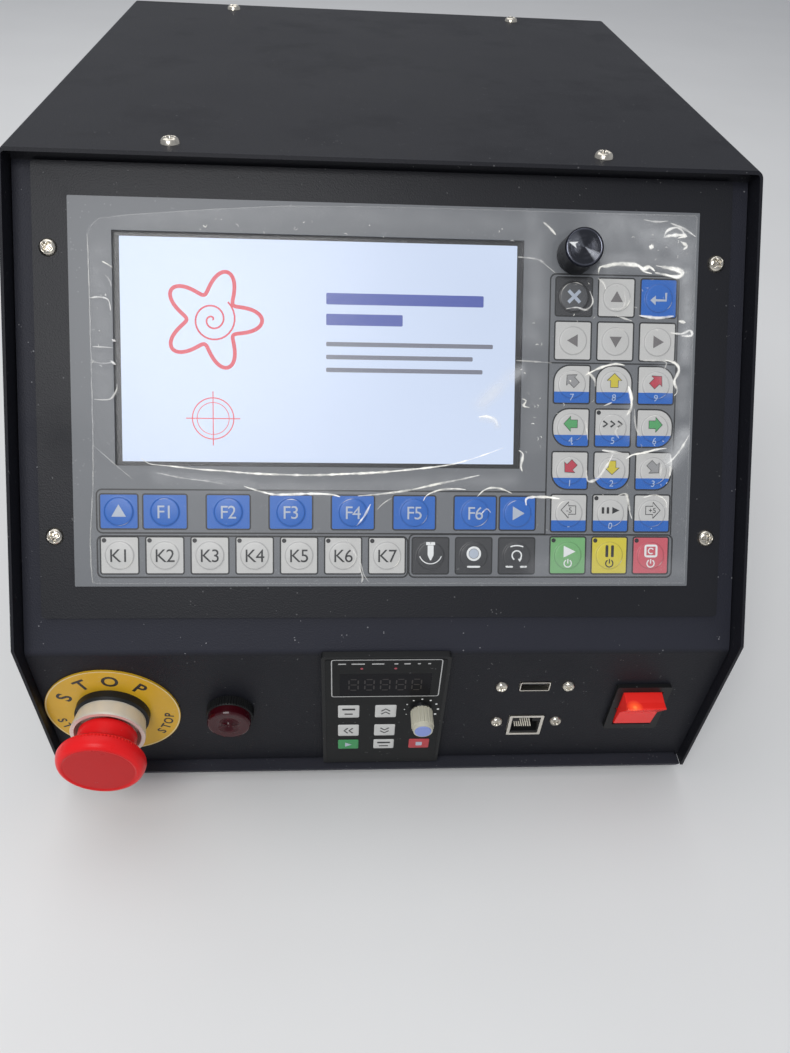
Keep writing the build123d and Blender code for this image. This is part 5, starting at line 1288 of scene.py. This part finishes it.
class CONSOLE_OT_devices(ConsoleStep, bpy.types.Operator):
    """Finishes the lamp, drive keypad, sockets and rocker"""

    bl_idname = "console.devices"
    bl_label = "Panel devices"

    def execute(self, context):
        for name in ("socket nickel", "socket tongue", "contact gold", "contacts with painted glint", "drive face", "speed beige",
                     "speed blue"):
            finish(name)
        self.lamp()
        self.drive_keypad()
        self.rocker()
        return {"FINISHED"}

    def lamp(self):
        """The pilot lamp's ringed lens and the ribs of its bezel."""
        rings = [(0.0, -0.55)]
        for k in range(12):
            reach = 0.7 + 0.62 * k
            rings += [(reach, -0.66 + 0.05 * k), (reach + 0.36, -0.26 + 0.01 * k)]
        rings += [(8.2, -0.12), (8.7, -0.35), (9.1, -0.9), (9.2, -1.6), (9.2, -4.15), (0.0, -4.15)]
        mesh = bmesh.new()
        lathe(mesh, panel_frame("lamp_lens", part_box("lamp_lens")[0].y), rings, 72)
        made = piece_from(mesh, "lamp_ringed_lens", "console", finish("lamp lens"))
        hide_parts("lamp_lens")
        ribs = bmesh.new()
        bezel = panel_frame("lamp_body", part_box("lamp_body")[0].y)
        for k in range(60):
            spine = bezel @ Matrix.Rotation(2 * math.pi * k / 60, 4, "Z")
            a, b, c, d, e, f = (ribs.verts.new(spine @ Vector((x, y, z))) for z in (-0.7, -4.3)
                                for x, y in ((9.78, -0.22), (10.0, 0), (9.78, 0.22)))
            for face in ((a, b, e, d), (b, c, f, e), (a, c, b), (d, e, f)):
                ribs.faces.new(face)
        piece_from(ribs, "lamp_bezel_ribs", "console", finish("black moulding"))

    def drive_keypad(self):
        """The spindle drive's printed face, dark window, raised keys and the dots round its knob."""
        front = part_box("drive_keypad_face")[0].y + bpy.context.scene.console_sizes.drive_key_rise
        plate = upright_frame(middle("drive_keypad_case").x, front, SHELL_LOW.z)

        def printed(name, loops, lift, material, cell=9.0):
            laid(name, loops, plate, lift, material, cell)

        lines = stroke(rounded(45.2, 24.6, 1.0, 3, (0.3, 66.9)), 0.42, True)
        lines += [bar(width, 0.7, 0.1, (x, 76.6)) for x, width in (
            (-18, 3.2), (-11.5, 5.4), (-3.4, 5.0), (4.0, 1.6), (8.6, 2.6), (13.4, 1.2), (17.6, 1.2))]
        printed("drive_print", lines, 0.03, finish("faint print"))
        digit_height = 62.6
        printed("drive_window", [rounded(38.6, 15.2, 0.5, 3, (0.4, digit_height))], -0.10, finish("dark window"), 90.0)
        segments = [(0, dy, 0) for dy in (3.6, 0, -3.6)] + [(dx, dy, 90) for dy in (1.8, -1.8) for dx in (-1.9, 1.9)]
        digits = []
        for x in (-13.2, -6.6, 0.0, 6.6, 13.2):
            for dx, dy, turn in segments:
                digits += moved([bar(2.6, 0.55)], x + dx, digit_height + dy, 1.0, turn)
        printed("drive_digits", digits, -0.07, finish("unlit digits"), 90.0)
        printed("drive_leds", [ring_points(0.6, 12, (x, 73.6)) for x in (-10.0, 3.9)], 0.04,
                glowing("faint red", (0.30, 0.03, 0.05), 0.1))
        for name, places in (("white", ((-15.1, 44.0), (0.9, 44.0), (-15.1, 29.8), (0.9, 29.8), (0.9, 18.8))),
                             ("green", ((-15.1, 18.8),)), ("red", ((16.9, 18.8),))):
            mesh = bmesh.new()
            for x, z in places:
                height = 8.8 if z > 40 else 8.4 if z > 25 else 7.0
                pillow(mesh, plate @ Matrix.Translation((x, z, 0.02)), rounded(9.2, height, 0.6, 4), 0.28)
            piece_from(mesh, f"drive_keys_{name}", "console", finish(f"drive key {name}"), smooth=True)
        marks = []
        for x, z, turn in ((0.9, 44.0, 0), (0.9, 29.8, 180), (-15.1, 29.8, 90)):
            for shift in (-1.1, 1.1):
                chevron = stroke([(-1.9, -0.8 + shift), (0, 0.8 + shift), (1.9, -0.8 + shift)], 0.7)
                marks += moved(chevron, x, z, 1.0, turn)
        marks += moved([bar(5.6, 1.3, centre=(0, 1.8)), bar(3.6, 0.9, centre=(0, -1.6))], -15.1, 44.0)
        marks += moved([bar(5.8, 1.2, centre=(0, 1.3)), bar(4.2, 0.8, centre=(0, -1.3))], 0.9, 18.8)
        printed("drive_marks_dark", marks, 0.34, finish("dark ink"))
        lights = moved([[(-1.4, -1.6), (1.6, 0), (-1.4, 1.6)]], -15.1, 18.8) + [bar(2.8, 2.8, centre=(16.9, 18.8))]
        printed("drive_marks_pale", lights, 0.34, finish("pale ink"))
        knob = middle("speed_knob")
        centre = (knob.x / MM, (knob.z - SHELL_LOW.z) / MM)
        spots = arc_points(centre, 7.3, 240, -60, 10)
        printed("speed_dots", [arc_points(spot, 0.22 + 0.045 * k, 0, 315, 8) for k, spot in enumerate(spots)], 0.03,
                finish("white ink"))

    def rocker(self):
        """A paddle with two hollowed faces, its upper end out, lit from within at one side."""
        centre = middle("rocker_body")
        place = upright_frame(centre.x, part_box("rocker_body")[0].y + 2 * MM, centre.z)
        section = ((-10.6, -4.5), (-10.7, 2.2), (-10.3, 2.6), (0.2, 4.15), (10.05, 9.7), (10.3, 9.3), (10.36, 6.3),
                   (11.35, 1.2), (11.3, -2.8))
        mesh = bmesh.new()
        rows = [[mesh.verts.new((x, v * share, out)) for v, out in section]
                for x, share in ((-8.5, 0.985), (-8.25, 1.0), (8.25, 1.0), (8.5, 0.985))]
        for a, b in zip(rows, rows[1:]):
            strip(mesh, a, b, closed=True)
        mesh.faces.new(rows[0])
        mesh.faces.new(rows[-1])
        bmesh.ops.recalc_face_normals(mesh, faces=mesh.faces)
        mesh.transform(place)
        material = finish("rocker red")
        g = Graph(material.node_tree)
        reach = g.vector("DISTANCE", g.where(), place @ Vector((-5.2, 9.6, 8.6)))
        near = g.ramp(g.math("MULTIPLY", reach, 40.0), (0.0, (1.0, 0.50, 0.12)), (0.055, (0.80, 0.12, 0.03)),
                      (0.15, (0.26, 0.010, 0.008)), (0.9, (0.15, 0.004, 0.004)))
        g.join(near, material.node_tree.nodes["Principled BSDF"].inputs["Emission Color"])
        made = piece_from(mesh, "rocker_hollowed_paddle", "power_rocker", material)
        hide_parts("rocker_paddle")
        soften(made, 0.3 * MM, 3, 20)


class CONSOLE_OT_film(ConsoleStep, bpy.types.Operator):
    """Lays the creased clear film over the membrane, with painted glints and glare"""

    bl_idname = "console.film"
    bl_label = "Protective film"

    def execute(self, context):
        sizes = context.scene.console_sizes
        place = slope_frame(sizes.overlay_drop)
        film = Film(sizes.film_left / MM)
        mesh = film.sheet(place.inverted() @ middle("jog_knob"))
        mesh.transform(place)
        made = piece_from(mesh, "film_sheet", "console", film_look(), smooth=True)
        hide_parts("protective_film")
        mesh = film.ribbons()
        mesh.transform(place)
        piece_from(mesh, "film_crease_glints", "console", crease_look(), smooth=True)
        return {"FINISHED"}


class CONSOLE_OT_stage(ConsoleStep, bpy.types.Operator):
    """Makes the camera, lamps, floor and surroundings"""

    bl_idname = "console.stage"
    bl_label = "Stage"

    def execute(self, context):
        scene = context.scene
        stage = scene.stage_settings
        scene.view_settings.view_transform = "Standard"
        self.camera(scene, stage.lens)
        for name, power, size, where in (("overhead lamp", stage.key_power, 1.6, (-0.3, 0.5, 1.5)),
                                         ("front lamp", stage.fill_power, 0.7, (-0.35, -1.02, 1.22))):
            lamp = bpy.data.lights.new(name, "AREA")
            lamp.energy, lamp.size = power, size
            lamp.shape = "SQUARE"
            piece = bpy.data.objects.new(name, lamp)
            piece.location = where
            piece.rotation_euler = (Vector((0, 0, 0.1)) - Vector(where)).to_track_quat("-Z", "Y").to_euler()
            scene.collection.objects.link(piece)
        self.floor(scene, tuple(stage.floor))
        world = bpy.data.worlds.new("plain surroundings")
        scene.world = world
        world.use_nodes = True
        set_inputs(world.node_tree.nodes["Background"], {"Color": (0.9, 0.93, 1.0), "Strength": stage.world_strength})
        return {"FINISHED"}

    def camera(self, scene, lens):
        """A camera placed in the sloping face's own frame."""
        camera = bpy.data.cameras.new("camera")
        camera.lens = lens
        camera.sensor_width = 36.0
        camera.clip_start, camera.clip_end = 0.01, 50.0
        holder = bpy.data.objects.new("camera", camera)
        scene.collection.objects.link(holder)
        place = slope_frame()
        spin = place.to_3x3().normalized()
        look = (spin @ Vector((0.06466, -0.07675, -0.99495))).normalized()
        right = look.cross(spin @ Vector((-0.00349, 0.99701, -0.07714))).normalized()
        turn = Matrix((right, right.cross(look), -look)).transposed()
        holder.matrix_world = Matrix.Translation(place @ Vector((-18.25, 73.32, 318.10))) @ turn.to_4x4()
        scene.camera = holder

    def floor(self, scene, tint):
        """A pale floor just below the feet."""
        mesh = bmesh.new()
        bmesh.ops.create_grid(mesh, x_segments=8, y_segments=8, size=4.0)
        data = bpy.data.meshes.new("floor")
        mesh.to_mesh(data)
        mesh.free()
        floor = bpy.data.objects.new("floor", data)
        floor.location.z = -0.2 * MM
        scene.collection.objects.link(floor)
        material, g, shader = new_look("pale floor")
        tone = g.ramp(g.noise(g.where(), 6.0, 4.0), (0.3, tuple(c * 0.97 for c in tint)), (0.7, tint))
        g.join(tone, shader.inputs["Base Color"])
        set_inputs(shader, {"Roughness": 0.8})
        paint(material, floor)


class VIEW3D_PT_console(bpy.types.Panel):
    """Lists the console's sizes, colours and steps"""

    bl_label = "Engraving console"
    bl_space_type = "VIEW_3D"
    bl_region_type = "UI"
    bl_category = "Console"

    def draw(self, context):
        scene = context.scene
        for group in (scene.console_sizes, scene.console_colours, scene.stage_settings):
            box = self.layout.box()
            for key in group.__annotations__:
                box.prop(group, key)
        for step in STEPS:
            self.layout.operator(step.bl_idname)


STEPS = (CONSOLE_OT_effects, CONSOLE_OT_case, CONSOLE_OT_screws, CONSOLE_OT_keypad, CONSOLE_OT_screen,
         CONSOLE_OT_knob, CONSOLE_OT_stop, CONSOLE_OT_devices, CONSOLE_OT_film, CONSOLE_OT_stage)
CLASSES = (ConsoleSizes, ConsoleColours, StageSettings, *STEPS, VIEW3D_PT_console)


def register():
    for cls in CLASSES:
        bpy.utils.register_class(cls)
    bpy.types.Scene.console_sizes = PointerProperty(type=ConsoleSizes)
    bpy.types.Scene.console_colours = PointerProperty(type=ConsoleColours)
    bpy.types.Scene.stage_settings = PointerProperty(type=StageSettings)


def unregister():
    del bpy.types.Scene.stage_settings
    del bpy.types.Scene.console_colours
    del bpy.types.Scene.console_sizes
    for cls in reversed(CLASSES):
        bpy.utils.unregister_class(cls)


def main():
    register()
    for step in STEPS:
        group, name = step.bl_idname.split(".")
        getattr(getattr(bpy.ops, group), name)()


if __name__ == "__main__":
    main()
